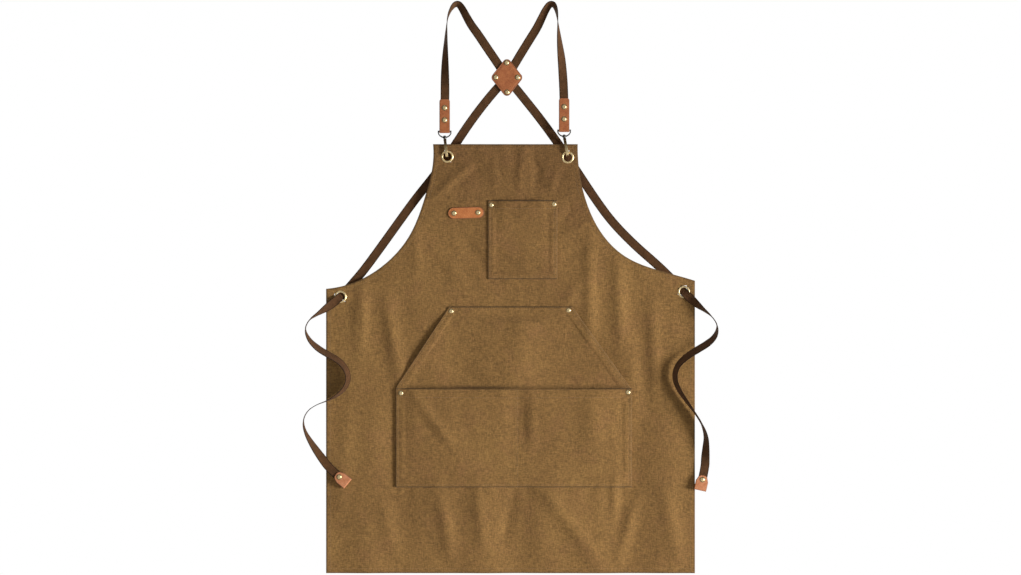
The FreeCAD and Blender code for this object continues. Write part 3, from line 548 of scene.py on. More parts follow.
# the folds that hang in it: the two ends, how wide it is, and how far back it goes or, below zero, forward
FOLDS = [
    ((-276, 550), (-282, 390), 13, -5.1), ((-236, 540), (-200, 320), 14, -5.4),
    ((-178, 660), (-174, 540), 11, -2.2), ((-300, 400), (-318, 60), 18, -2.6),
    ((146, 650), (148, 400), 12, -4.2), ((198, 615), (206, 380), 14, -5.1),
    ((222, 470), (232, 280), 16, -4.2), ((262, 530), (270, 300), 12, -3.5),
    ((-137, 180), (-106, 5), 13, -4.5), ((-62, 165), (-50, 30), 11, -2.9),
    ((40, 175), (180, 5), 13, -4.2), ((240, 165), (196, 5), 12, -4.2),
    ((196, 200), (192, 90), 9, -2.7), ((-240, 150), (-215, 20), 15, -3.5),
    ((282, 180), (314, 10), 14, -2.9), ((5, 160), (-16, 40), 10, 2.6),
    ((-165, 680), (-62, 770), 10, -2.8), ((-118, 710), (-48, 764), 8, 2.2),
    ((-100, 640), (-40, 560), 13, 1.8), ((22, 800), (14, 695), 9, -2.2),
    ((56, 800), (44, 695), 9, 2.1), ((94, 770), (70, 700), 8, -1.9),
    ((82, 618), (175, 672), 9, -2.4), ((88, 652), (150, 722), 9, 2.0),
    ((96, 588), (160, 614), 9, 1.5), ((-150, 610), (-70, 520), 14, -2.0),
    ((-34, 800), (-26, 700), 9, -2.0), ((140, 560), (90, 480), 12, -2.6),
]


def drape(x, h):
    """How far the hanging cloth lies behind its flat plane, in millimetres."""
    x, h = np.asarray(x, float), np.asarray(h, float)
    skirt = ease((575 - h) / 330)
    # the pockets stiffen what lies behind them
    stiff = ease((235 - abs(x - 6)) / 40) * ease((h - 150) / 30) * ease((510 - h) / 40)
    swing = 0.75 + 0.35 * np.sin(x / 137 + 1.1)
    folds = 1.9 * np.sin(x / 33 + 0.8 * np.sin(h / 170) + 0.5) * swing
    folds = folds + 1.3 * np.sin(x / 17.3 + 1.2 * np.sin(h / 121 + 1.7) + h / 190)
    puckers = 0.5 * np.sin(x / 6.3 + 0.9 * np.sin(h / 31 + 0.4))
    bib = puckers * ease((h - 695) / 50) * np.exp(-(x / 85) ** 2)
    bib = bib + 0.8 * np.sin(x / 41 + h / 63 + 0.6) - 0.5
    soft = 0.28 * np.sin(x / 9.1 + 1.9 * np.sin(h / 23)) * np.sin(h / 13.7 + 1.3 * np.sin(x / 31))
    soft = soft + 0.3 * np.sin((x + h) / 21 + 1.4 * np.sin((x - h) / 37))
    y = folds * skirt * (1 - 0.75 * stiff) + bib * (1 - skirt) + soft
    for fold in FOLDS:
        y = y + crease(x, h, *fold)
    # gathers hang from the seams along the bottoms of the wide pocket and the chest pocket
    under = np.exp(-np.clip(160 - h, 0, None) / 30) * (h < 160) * ease((235 - abs(x - 6)) / 20)
    y = y + under * 0.5 * np.sin(x / 5.2 + 1.8 * np.sin(x / 33))
    gathered = np.exp(-np.clip(547 - h, 0, None) / 30) * (h < 547) * ease((62 - abs(x - 22)) / 20)
    y = y + gathered * 0.32 * np.sin(x / 3.9 + 1.2 * np.sin(x / 23))
    # the grommets and rivets hold it flat
    held = np.ones_like(y)
    for gx, gh in GROMMETS.values():
        held *= 1 - np.exp(-(np.hypot(x - gx, h - gh) / 24) ** 2)
    for rx, rh in sum(RIVETS.values(), []):
        held *= 1 - 0.9 * np.exp(-(np.hypot(x - rx, h - rh) / 13) ** 2)
    # the straps lie close behind the upper edges, so the cloth keeps to its front there
    strap_side = 62 + 0.765 * np.clip(775 - h, 0, None)
    room = np.where(h > 500, 0.7 + 2.3 * ease((strap_side - 12 - abs(x)) / 20), 5.0)
    # the ties and the snap hooks lie close in front of it
    tied = np.where((h > 150) & (h < 530), ease((abs(x) - 262) / 24), 0)
    return np.clip(y, -6.5 + 3.3 * np.maximum(tied, ease((h - 700) / 40)), room) * held


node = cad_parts["apron_body"]
outline = np.array([v.co for v in node.data.vertices], float) * 1000 + [0, 0, HANG_HEIGHT]
outline = outline[np.abs(outline[:, 1] + CLOTH) < 0.01][:, [0, 2]]
for spot in [*GROMMETS.values(), *sum(RIVETS.values(), [])]:
    outline = outline[np.hypot(*(outline - spot).T) > 10]


def armhole(sign):
    """One curved side of the bib, from the waist corner up to the top corner."""
    edge = outline[(outline[:, 0] * sign > 0) & (outline[:, 1] > 500)]
    edge = edge[np.argsort(edge[:, 1])]
    run = np.r_[0, np.cumsum(np.hypot(*np.diff(edge, axis=0).T))]
    end = run[-1]
    steps = np.r_[0, 0.4, 1.2, 3, np.linspace(6, end - 3, 84), end - 1.2, end - 0.4, end]
    return np.c_[np.interp(steps, run, edge[:, 0]), np.interp(steps, run, edge[:, 1])]


left_edge, right_edge = armhole(-1), armhole(1)
share = np.r_[0, 0.0008, 0.0022, 0.005, np.linspace(0.01, 0.99, 164), 0.995, 0.9978, 0.9992, 1]
skirt = np.r_[0, 0.0008, 0.0022, 0.005, np.linspace(0.012, 1, 128)][:-1]
lows = np.outer(skirt, left_edge[0] * [0, 1]) + [left_edge[0][0], 0]
highs = np.outer(skirt, right_edge[0] * [0, 1]) + [right_edge[0][0], 0]
starts, stops = np.r_[lows, left_edge], np.r_[highs, right_edge]
grid = starts[:, None, :] + (stops - starts)[:, None, :] * share[None, :, None]
X, H = grid[..., 0], grid[..., 1]
border = np.r_[starts, stops[::-1]]
border = np.r_[border, border[:1]]


def from_edge(x, h, line):
    """The distance from each point to the nearest part of a line of points."""
    a, b = line[:-1], line[1:]
    best = np.full(np.shape(x), 1e9)
    for (ax, ah), (bx, bh) in zip(a, b):
        long = (bx - ax) ** 2 + (bh - ah) ** 2
        if long == 0:
            continue
        t = np.clip(((x - ax) * (bx - ax) + (h - ah) * (bh - ah)) / long, 0, 1)
        best = np.minimum(best, np.hypot(x - ax - t * (bx - ax), h - ah - t * (bh - ah)))
    return best


def cloth_skin(name, x, h, front, back, edge, dark, drop=None):
    """A closed piece of cloth: a grid of points, and the y of its front and back, in millimetres.

    Edge is the distance from a finished edge and dark how much painted shade a point gets, both kept
    for the material. Faces in drop are left out.
    """
    m, n = x.shape
    verts = np.concatenate([np.stack([x, y, h - HANG_HEIGHT], -1).reshape(-1, 3) for y in (front, back)])
    i, j = np.meshgrid(np.arange(m - 1), np.arange(n - 1), indexing="ij")
    a = (i * n + j).ravel()
    quads = np.c_[a, a + 1, a + n + 1, a + n]
    if drop is not None:
        quads = quads[~drop[quads].any(axis=1)]
    here = np.concatenate([quads[:, [k, (k + 1) % 4]] for k in range(4)])
    code = here[:, 0] * m * n + here[:, 1]
    open_edges = here[~np.isin(code, here[:, 1] * m * n + here[:, 0])]
    p, q = open_edges.T
    walls = np.c_[q, p, p + m * n, q + m * n]
    faces = np.concatenate([quads, quads[:, ::-1] + m * n, walls])
    return make_mesh(name, (verts / 1000).tolist(), faces.tolist(), 65,
                     edge_mm=np.tile(edge.ravel(), 2), crevice=np.tile(dark.ravel(), 2))


# Cotton duck, piece dyed and washed: matt, mottled where the dye has worn, warmer in patches, with
# slubby yarns both ways. The yarns are drawn 1.4 mm apart, about twice their real spacing.
material, tree, shader = new_material("washed_cotton_duck")
spot = add(tree, "ShaderNodeTexCoord").outputs["Object"]
wide = add(tree, "ShaderNodeTexNoise", {"Vector": spot, "Scale": 5.0, "Detail": 2.0})
mid = add(tree, "ShaderNodeTexNoise", {"Vector": spot, "Scale": 150.0, "Detail": 3.0, "Roughness": 0.7})
warp = add(tree, "ShaderNodeMapping", {"Vector": spot, "Scale": (540, 500, 130)})
weft = add(tree, "ShaderNodeMapping", {"Vector": spot, "Scale": (150, 500, 560)})
slub_up = add(tree, "ShaderNodeTexNoise", {"Vector": warp, "Scale": 1.0, "Detail": 2.0})
slub_on = add(tree, "ShaderNodeTexNoise", {"Vector": weft, "Scale": 1.0, "Detail": 3.0})
yarns = add(tree, "ShaderNodeMath", {0: slub_on, 1: 1.35, 2: slub_up}, operation="MULTIPLY_ADD")
split = add(tree, "ShaderNodeSeparateXYZ", {0: spot})
# the cloth is drawn darker towards the top of the bib
darker_up_the_bib = add(tree, "ShaderNodeMapRange", {
    "Value": split.outputs["Z"], "From Min": -0.45, "From Max": -0.29, "To Max": -0.6})
worn = add(tree, "ShaderNodeMath", {0: wide, 1: mid}, operation="ADD")
worn = add(tree, "ShaderNodeMath", {0: worn, 1: darker_up_the_bib}, operation="ADD")
fade = add(tree, "ShaderNodeMapRange", {"Value": worn, "From Min": 0.5, "From Max": 1.4})
khaki = add(tree, "ShaderNodeMix", {0: fade, 6: srgb("#77562F"), 7: srgb("#94703E")}, data_type="RGBA")
patch = add(tree, "ShaderNodeTexNoise", {"Vector": spot, "Scale": 19.0, "Detail": 4.0, "Roughness": 0.62})
rusty = add(tree, "ShaderNodeMapRange", {"Value": patch, "From Min": 0.5, "From Max": 0.75, "To Max": 0.25})
warmed = add(tree, "ShaderNodeMix", {0: rusty, 6: khaki, 7: srgb("#8E6142")}, data_type="RGBA")
thread = add(tree, "ShaderNodeMapRange", {
    "Value": yarns, "From Min": 0.85, "From Max": 1.5, "To Min": 0.7, "To Max": 1.32})
yarned = add(tree, "ShaderNodeVectorMath", {0: warmed, "Scale": thread},
             operation="SCALE")
# painted shade: a point field set with each cloth piece darkens the duck towards a near-black brown along its
# edges and crevices, standing in for their shadows
crevice = add(tree, "ShaderNodeAttribute", attribute_name="crevice")
painted_shade_amount = add(tree, "ShaderNodeMath", {0: crevice.outputs["Fac"], 1: 0.88}, operation="MULTIPLY")
yarned = add(tree, "ShaderNodeMix", {0: painted_shade_amount, 6: yarned, 7: srgb("#3A2814")}, data_type="RGBA")
edge = add(tree, "ShaderNodeAttribute", attribute_name="edge_mm")
rim = add(tree, "ShaderNodeMapRange", {
    "Value": edge.outputs["Fac"], "From Min": 0.3, "From Max": 1.4, "To Min": 0.12, "To Max": 0.0})
rubbed = add(tree, "ShaderNodeMix", {0: rim, 6: yarned, 7: srgb("#A98A60")}, data_type="RGBA")
waves = []
for axis in ("X", "Z"):
    turns = add(tree, "ShaderNodeMath", {0: split.outputs[axis], 1: tau / 0.0014}, operation="MULTIPLY")
    waves.append(add(tree, "ShaderNodeMath", {0: turns}, operation="SINE"))
plain = add(tree, "ShaderNodeMath", {0: waves[0], 1: waves[1]}, operation="MULTIPLY")
cloth = add(tree, "ShaderNodeMath", {0: yarns, 1: 3.0, 2: plain}, operation="MULTIPLY_ADD")
fine = add(tree, "ShaderNodeBump", {"Strength": 0.6, "Distance": 0.00025, "Height": cloth})
ruffle = add(tree, "ShaderNodeTexNoise", {"Vector": spot, "Scale": 130.0, "Detail": 4.0, "Roughness": 0.65})
rough = add(tree, "ShaderNodeBump", {"Strength": 0.5, "Distance": 0.0004, "Height": ruffle, "Normal": fine})
wire(tree, shader, {"Base Color": rubbed, "Normal": rough, "Roughness": 0.9, "Sheen Weight": 0.12,
                    "Sheen Roughness": 0.45, "Specular IOR Level": 0.25})
cotton_duck = material

edge_mm = from_edge(X, H, border)
drop = np.zeros(X.shape, bool)
HOLE, HOLE_EDGE, HOLE_REACH = 8.6, 9.4, 10.4  # points near a hole move onto its edge
for gx, gh in GROMMETS.values():
    r = np.hypot(X - gx, H - gh)
    drop |= r < HOLE
    near = (r >= HOLE) & (r < HOLE_REACH)
    X = np.where(near, gx + (X - gx) * HOLE_EDGE / r, X)
    H = np.where(near, gh + (H - gh) * HOLE_EDGE / r, H)
fall = drape(X, H)
groove = 0.22 * np.exp(-((edge_mm - HEM_ROW) / 1.6) ** 2)
turned = 0.8 * np.exp(-edge_mm / 1.5)
front = np.minimum(fall - CLOTH + groove + turned, fall + 0.35) - 0.25 * ease((HEM_ROW - edge_mm) / 2)
# painted shade along the body's finished edges, darkest within a millimetre of them
dark = 0.55 * (1 - ease((edge_mm - 1.0) / 2.6))
mesh = cloth_skin("apron_cloth", X, H, front, fall + CLOTH - 0.1, edge_mm, dark, drop.ravel())
apron = place_piece("apron_cloth", mesh, cotton_duck)
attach(apron, "apron")
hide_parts("apron_body")


# --- Turned hem ---
# The same duck folded 11 mm to the back all round, a second thickness that stiffens every edge.

HEM_WIDTH, HEM_BACK = 11.0, 1.4


def divided(points, step, closed=False):
    """A line through points in x and h, with more points on it about a step apart."""
    ends = np.roll(points, -1, 0) if closed else points[1:]
    spots = [] if closed else [points[:1]]
    for a, b in zip(points, ends):
        count = max(1, round(np.hypot(*(b - a)) / step))
        share = np.arange(count) / count if closed else np.linspace(0, 1, count + 1)[1:]
        spots.append(a + (b - a) * share[:, None])
    return np.concatenate(spots)


def inward_ways(loop):
    """At each point of a clockwise loop, the way in and how much further in its mitre reaches."""
    ahead, behind = np.roll(loop, -1, 0) - loop, loop - np.roll(loop, 1, 0)
    ahead /= np.hypot(*ahead.T)[:, None]
    behind /= np.hypot(*behind.T)[:, None]
    ways = np.c_[ahead[:, 1] + behind[:, 1], -ahead[:, 0] - behind[:, 0]]
    ways /= np.hypot(*ways.T)[:, None]
    return ways, 1 / np.maximum(np.sum(ways * np.c_[ahead[:, 1], -ahead[:, 0]], axis=1), 0.5)


loop = border[:-1][np.r_[True, np.hypot(*np.diff(border[:-1], axis=0).T) > 0.6]]
loop = divided(loop, 4, closed=True)
inward, mitre = inward_ways(loop)
section = [(0.15, CLOTH - 0.3), (0.15, 1.0), (0.5, 1.28), (1.2, HEM_BACK), (5.0, HEM_BACK - 0.05),
           (HEM_ROW, HEM_BACK - 0.22), (HEM_WIDTH - 0.8, HEM_BACK), (HEM_WIDTH, HEM_BACK - 0.2),
           (HEM_WIDTH, CLOTH - 0.05), (5.0, CLOTH - 0.12)]
verts, rim = [], []
for d, y in section:
    spots = loop + inward * (d * mitre)[:, None]
    verts.append(np.c_[spots[:, 0], drape(spots[:, 0], spots[:, 1]) + y, spots[:, 1] - HANG_HEIGHT])
    rim.append(np.full(len(loop), min(d, 4 + HEM_WIDTH - d)))
verts = np.stack(verts, 1).reshape(-1, 3) / 1000
n, count = len(section), len(loop)
faces = [(i * n + j, i * n + (j + 1) % n, (i + 1) % count * n + (j + 1) % n, (i + 1) % count * n + j)
         for i in range(count) for j in range(n)]
mesh = make_mesh("turned_hem", verts.tolist(), faces, 65, edge_mm=np.stack(rim, 1).ravel())
hem = place_piece("turned_hem", mesh, cotton_duck)
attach(hem, "apron")
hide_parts("hem_facing")


# --- Pockets ---
# Patch pockets of the same duck, their raw edges turned under and held by two rows of stitching:
# a square one on the bib, a house-shaped hand warmer, and a wide divided one on top of it.

# how far in from a pocket's edge the rows of points are, close together where it is turned
RIM = np.array([0, 0.3, 0.8, 1.5, 2.2, 3.0, 3.9, 4.8, 5.6, 6.5, 8.0, 11.0])
ROWS = (2.2, 5.6)  # from the edge to the two rows of stitching
TURNED_EDGE, ONE_LAYER = 2.2, 1.1  # how thick the cloth stands at a turned edge and elsewhere
CHEST_LEFT, CHEST_RIGHT, CHEST_FOOT, CHEST_MOUTH = -42.0, 87.0, 547.0, 693.6
PANEL_LEFT, PANEL_RIGHT, PANEL_FOOT = -213.5, 226.0, 160.0  # of the hand warmer and the wide pocket
WARMER_TOP, WIDE_MOUTH = 496.0, 344.0
LEFT_SLANT = (PANEL_LEFT, 346), (-114.4, WARMER_TOP)
RIGHT_SLANT = (PANEL_RIGHT, 341), (114.6, WARMER_TOP)
DIVIDER = 11.5


def crowded(low, high, step):
    """Values from low to high that crowd at both ends, where cloth is turned and stitched."""
    inner = np.linspace(low + RIM[-1], high - RIM[-1], round((high - low - 2 * RIM[-1]) / step) + 1)
    return np.r_[low + RIM[:-1], inner, high - RIM[:-1][::-1]]


def patch_grid(low, high, left, right, step):
    """A grid between two side lines, each given as its x at every height."""
    h = crowded(low, high, step)
    widest = crowded(left(h).min(), right(h).max(), step)
    count = len(widest) - 2 * len(RIM) + 2
    x = np.array([
        np.r_[a + RIM[:-1], np.linspace(a + RIM[-1], b - RIM[-1], count), b - RIM[:-1][::-1]]
        for a, b in zip(left(h), right(h))])
    return x, np.repeat(h[:, None], x.shape[1], axis=1)


def layer(d, fold, x, h):
    """How thick a turned and stitched layer is at a distance from its edge."""
    body = ONE_LAYER + (TURNED_EDGE - ONE_LAYER) * (1 - ease((d - fold) / 2.5))
    rolled = 0.25 + 0.75 * np.sqrt(1 - (1 - np.clip(d / 1.3, 0, 1)) ** 2)
    sunk = sum(0.3 * np.exp(-((d - row) / 0.8) ** 2) for row in ROWS)
    drawn = 0.13 * np.sin(x / 2.9 + 1.3) * np.sin(h / 3.1) * np.exp(-((d - 4) / 5) ** 2)
    return body * rolled - sunk * ease(d / 1.5) + drawn * ease(d / 2)


def chest_cloth(x, h):
    """The y of the chest pocket's front and back."""
    d = np.minimum(np.minimum(x - CHEST_LEFT, CHEST_RIGHT - x), h - CHEST_FOOT)
    mouth = CHEST_MOUTH - h
    gap = ease((d - 7) / 28) * (0.5 + 2.3 * ease((h - 600) / 90))
    thick = layer(np.minimum(d, mouth), np.where(mouth < d + 6, 18, 12), x, h)
    puff = crease(x, h, (-20, 690), (10, 590), 10, 0.35) - crease(x, h, (70, 680), (40, 560), 12, 0.4)
    base = drape(x, h) - CLOTH
    return base - gap * (1 + 0.3 * puff) - thick, base - gap - 0.06


def warmer_out(x, h, bare=True):
    """How far the hand warmer's back stands off the body, and its thickness."""
    sewn = np.minimum(np.minimum(x - PANEL_LEFT, PANEL_RIGHT - x), np.minimum(h - PANEL_FOOT, WARMER_TOP - h))
    slants = []
    for (ax, ah), (bx, bh) in (LEFT_SLANT, RIGHT_SLANT):
        slants.append(abs((x - ax) * (bh - ah) - (h - ah) * (bx - ax)) / np.hypot(bx - ax, bh - ah))
    hand = np.where(h > 338, np.minimum(*slants), 200)
    bow = np.sin(pi * np.clip((h - 343) / 153, 0, 1)) ** 0.7
    gap = ease((sewn - 6) / 30) * (0.7 + 2.6 * bow * np.exp(-(hand / 55) ** 2))
    bulge = crease(x, h, (5, 545), (8, 306), 58, 9) + crease(x, h, (14, 545), (14, 306), 24, 2.2)
    gap = gap + ease(gap) * (bulge - crease(x, h, (-150, 405), (-20, 338), 10, 1.8))
    if not bare:
        return gap, np.full_like(gap, ONE_LAYER + 0.2)
    return gap, layer(np.minimum(sewn, hand), 14, x, h)


def warmer_cloth(x, h):
    """The y of the hand warmer's front and back."""
    gap, thick = warmer_out(x, h)
    base = drape(x, h) - CLOTH
    return base - gap - thick, base - gap - 0.06


WIDE_FOLDS = [((-192, 352), (-78, 192), 10, -3.6), ((-100, 320), (-60, 190), 14, 1.4),
              ((42, 352), (36, 172), 12, -2.4), ((150, 350), (158, 170), 26, -4.4)]


def wide_cloth(x, h):
    """The y of the wide pocket's front and back: it lies on the hand warmer, and is loose in places."""
    d = np.minimum(np.minimum(x - PANEL_LEFT, PANEL_RIGHT - x), h - PANEL_FOOT)
    mouth = WIDE_MOUTH - h
    split = abs(x - DIVIDER)
    gap = ease((d - 7) / 30) * ease((split - 3) / 26) * (0.3 + 2.0 * ease((h - 215) / 110))
    thick = layer(np.minimum(d, mouth), np.where(mouth < d + 6, 19, 14), x, h)
    thick = thick - 0.3 * np.exp(-((split - 1.8) / 0.8) ** 2)
    under, panel = warmer_out(x, h, bare=False)
    folds = sum(crease(x, h, *fold) for fold in WIDE_FOLDS)
    base = drape(x, h) - CLOTH - under - panel
    return base - gap - thick + folds * ease(gap), base - gap - 0.06 + folds * ease(gap)


def mouth_sag(x, h):
    """The wide pocket's mouth hangs a little between its rivets."""
    across = (x - PANEL_LEFT) / (PANEL_RIGHT - PANEL_LEFT)
    return 1.8 * np.sin(pi * across) * ease((h - PANEL_FOOT) / (WIDE_MOUTH - PANEL_FOOT))


def straight(value):
    """An upright side line: its x at every height."""
    return lambda h: np.full_like(h, value)


def slanted(slant, foot):
    """A side line that stands upright at its foot and then slants in."""
    (ax, ah), (bx, bh) = slant
    return lambda h: np.where(h < ah, foot, ax + (bx - ax) * (h - ah) / (bh - ah))


pockets = {}
TUCK = 0.5  # the hand warmer's edges lie this far inside those of the wide pocket
for name, node, faces, low, high, left, right, step in (
    ("chest_pocket_cloth", "chest_pocket", chest_cloth, CHEST_FOOT, CHEST_MOUTH,
     straight(CHEST_LEFT), straight(CHEST_RIGHT), 2.6),
    ("hand_warmer_cloth", "hand_warmer_panel", warmer_cloth, PANEL_FOOT + TUCK, WARMER_TOP,
     slanted(LEFT_SLANT, PANEL_LEFT + TUCK), slanted(RIGHT_SLANT, PANEL_RIGHT - TUCK), 3.4),
    ("wide_pocket_cloth", "lower_pocket", wide_cloth, PANEL_FOOT, WIDE_MOUTH,
     straight(PANEL_LEFT), straight(PANEL_RIGHT), 3.0),
):
    x, h = patch_grid(low, high, left, right, step)
    front, back = faces(x, h)
    edge_mm = np.minimum(np.minimum(x - left(h), right(h) - x), np.minimum(h - low, high - h))
    if node == "lower_pocket":
        h = h - mouth_sag(x, h)
    # painted shadow lines along each pocket's edges: strongest along the mouth and the bottom, weaker on the
    # right side that faces the light
    dark = np.zeros_like(x)
    for gap, depth, wide in ((x - left(h), 0.7, 0.7), (right(h) - x, 0.35, 0.5), (high - h, 1.0, 1.2),
                             (h - low, 0.95, 0.8)):
        dark = np.maximum(dark, depth * (1 - ease((gap - wide) / 1.3)))
    # painted shadow on the hand warmer just above the wide pocket's mouth, deepest left of the middle
    if node == "hand_warmer_panel":  # it is dark inside the mouth of the wide pocket
        inside = np.exp(-((h - WIDE_MOUTH - 3 + mouth_sag(x, WIDE_MOUTH)) / 3.2) ** 2)
        inside = inside * (0.4 + 0.5 * np.exp(-((x + 58) / 70) ** 2))
        dark = np.maximum(dark, inside * ease((x + 205) / 20))
    mesh = cloth_skin(name, x, h, front, np.maximum(back, front + 0.3), edge_mm, dark)
    pockets[name] = place_piece(name, mesh, cotton_duck)
    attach(pockets[name], "apron")
    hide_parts(node)


# --- Stitching ---
# Polyester thread a shade lighter than the cloth, sunk into it: lockstitches 3.4 mm apart, in two
# rows round each pocket, one along its mouth, two up the middle of the wide pocket, and one row
# along the apron's hem.

material, tree, shader = new_material("polyester_thread")
place = add(tree, "ShaderNodeTexCoord").outputs["Object"]
ply = add(tree, "ShaderNodeTexNoise", {"Vector": place, "Scale": 900.0})
spun = add(tree, "ShaderNodeMix", {0: ply, 6: srgb("#7A5A33"), 7: srgb("#A68353")}, data_type="RGBA")
wire(tree, shader, {"Base Color": spun, "Roughness": 0.55})
polyester_thread = material

STITCH = {"Pitch": 0.0034, "Length": 0.0027, "Thickness": 0.0007}
stitch_tree, given, stitch_keys = node_group(
    "lockstitches", Pitch="Float", Length="Float", Thickness="Float", Thread="Material")
rows_line = add(stitch_tree, "GeometryNodeMeshToCurve", {"Mesh": given.outputs["Geometry"]})
spaced = add(stitch_tree, "GeometryNodeResampleCurve", {
    "Curve": rows_line, "Length": given.outputs["Pitch"]}, mode="LENGTH")
bead = add(stitch_tree, "GeometryNodeMeshUVSphere", {"Segments": 6, "Rings": 5, "Radius": 0.5})
form = add(stitch_tree, "ShaderNodeCombineXYZ", {
    "X": given.outputs["Thickness"], "Y": given.outputs["Thickness"], "Z": given.outputs["Length"]})
way = add(stitch_tree, "GeometryNodeInputTangent")
aim = add(stitch_tree, "FunctionNodeAlignRotationToVector", {"Vector": way}, axis="Z")
placed = add(stitch_tree, "GeometryNodeInstanceOnPoints", {
    "Points": spaced, "Instance": bead, "Rotation": aim, "Scale": form})
real = add(stitch_tree, "GeometryNodeRealizeInstances", {0: placed})
smooth = add(stitch_tree, "GeometryNodeSetShadeSmooth", {0: real})
coloured = add(stitch_tree, "GeometryNodeSetMaterial", {
    "Geometry": smooth, "Material": given.outputs["Thread"]})
add(stitch_tree, "NodeGroupOutput", {0: coloured})


def sew(name, rows, sag=None):
    """Stitches along rows, each a line of points in x and h and the surface it lies on."""
    verts, edges = [], []
    for points, surface in rows:
        x, h = divided(np.array(points, float), 2.5).T
        start = len(verts)
        verts += [at(*p) for p in zip(x, surface(x, h), h - (sag(x, h) if sag else 0))]
        edges += [(k, k + 1) for k in range(start, len(verts) - 1)]
    mesh = bpy.data.meshes.new(name)
    mesh.from_pydata(verts, edges, [])
    made = place_piece(name, mesh, polyester_thread)
    run_nodes(made, stitch_tree, stitch_keys, **STITCH, Thread=polyester_thread)
    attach(made, "apron")


def on_body(x, h):
    """The y of stitches on the front of the body."""
    return drape(x, h) - CLOTH + 0.02


def behind_hem(x, h):
    """The y of stitches on the back of the turned hem."""
    return drape(x, h) + HEM_BACK - 0.2


inset = loop + inward * (HEM_ROW * mitre)[:, None]
hem_line = np.r_[inset, inset[:1]]
clear = [np.hypot(*(hem_line - g).T) > 12 for g in GROMMETS.values()]  # of the grommets
runs, run = [], []
for spot, free in zip(hem_line, np.all(clear, axis=0)):
    if free:
        run.append(spot)
        continue
    if len(run) > 1:
        runs.append(run)
    run = []
runs.append(run)
sew("hem_stitches", [(run, surface) for surface in (on_body, behind_hem) for run in runs])


def rows_round(left, right, low, high):
    """Two rows down one side of a pocket, along its bottom and up the other side."""
    return [[(left + d, high - 1.5), (left + d, low + d), (right - d, low + d), (right - d, high - 1.5)]
            for d in ROWS]


CHEST_HEM, WIDE_HEM = 15.5, 16.0  # from each mouth to the row that holds its hem
hem_height = CHEST_MOUTH - CHEST_HEM
chest = rows_round(CHEST_LEFT, CHEST_RIGHT, CHEST_FOOT, CHEST_MOUTH)
chest += [[(CHEST_LEFT + 2, hem_height), (CHEST_RIGHT - 2, hem_height)]]
sew("chest_pocket_stitches", [(row, lambda x, h: chest_cloth(x, h)[0]) for row in chest])
slants = []
for (ax, ah), (bx, bh) in (LEFT_SLANT, RIGHT_SLANT):
    inwards = np.array([abs(bh - ah) * (1 if ax < 0 else -1), -abs(bx - ax)]) / np.hypot(bx - ax, bh - ah)
    slants += [[np.array([ax, ah]) + inwards * d, np.array([bx, bh]) + inwards * d] for d in ROWS]
warm = slants + [[(-112 + d * 0.6, WARMER_TOP - d), (112.4 - d * 0.6, WARMER_TOP - d)] for d in ROWS]
sew("hand_warmer_stitches", [(row, lambda x, h: warmer_cloth(x, h)[0]) for row in warm])
hem_height = WIDE_MOUTH - WIDE_HEM
wide = rows_round(PANEL_LEFT, PANEL_RIGHT, PANEL_FOOT, WIDE_MOUTH)
wide += [[(PANEL_LEFT + 2, hem_height), (PANEL_RIGHT - 2, hem_height)]]
wide += [[(DIVIDER + d, WIDE_MOUTH - 1), (DIVIDER + d, PANEL_FOOT + 1.5)] for d in (-1.8, 1.8)]
sew("wide_pocket_stitches", [(row, lambda x, h: wide_cloth(x, h)[0]) for row in wide], mouth_sag)

surface = {"chest_pocket": chest_cloth, "hand_warmer": warmer_cloth, "lower_pocket": wide_cloth}
for number, (place, spots) in enumerate(RIVETS.items()):
    places = []
    for x, h in spots:
        there = np.array([x]), np.array([h])
        lift = surface[place](*there)[0][0] + 0.1 if place in surface else -CLOTH - LEATHER
        places.append((x, h, float(lift), CLOTH - 0.1))
    made = set_rivets(f"{place}_rivets", [f"{place}_rivet_left", f"{place}_rivet_right"], places,
                      10 + number, 1.12)
    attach(made, "apron")


# --- Grommets ---
# Two-part brass grommets 23 mm across: a domed eyelet with a barrel through the cloth, and a
# washer behind that the barrel is rolled over.

EYELET = [(8.0, -1.3, 0.7), (7.95, 0.6, 0.5), (8.1, 1.1, 0.15), (8.5, 1.5, 0), (9.1, 1.7, 0),
          (9.8, 1.7, 0), (10.5, 1.5, 0), (11.1, 1.15, 0.1), (11.45, 0.8, 0.5), (11.5, 0.62, 0.9),
          (8.7, 0.6, 1), (8.6, -1.2, 1), (8.75, -1.55, 0.4), (8.4, -1.7, 0.2), (8.1, -1.6, 0.3)]
WASHER = [(8.75, -0.7, 1), (8.8, -1.4, 0.6), (9.3, -1.58, 0.1), (10.6, -1.55, 0), (11.3, -1.35, 0.1),
          (11.5, -1.05, 0.5), (11.5, -0.75, 1)]
upright = Matrix.Rotation(pi / 2, 4, "X")
for place, (x, h) in GROMMETS.items():
    for part, section in (("grommet", EYELET), ("washer", WASHER)):
        mesh = lathe(f"{place}_{part}", section + section[:1], 56)
        mesh.transform(Matrix.Translation(at(x, 0, h)) @ upright)
        made = place_piece(f"{place}_brass_{part}", mesh, antique_brass)
        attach(made, "apron")
        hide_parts(f"{place}_{part}")


# --- Name badge ---
# A blank stadium of paler tan leather with a creased border, held on the bib by two rivets.

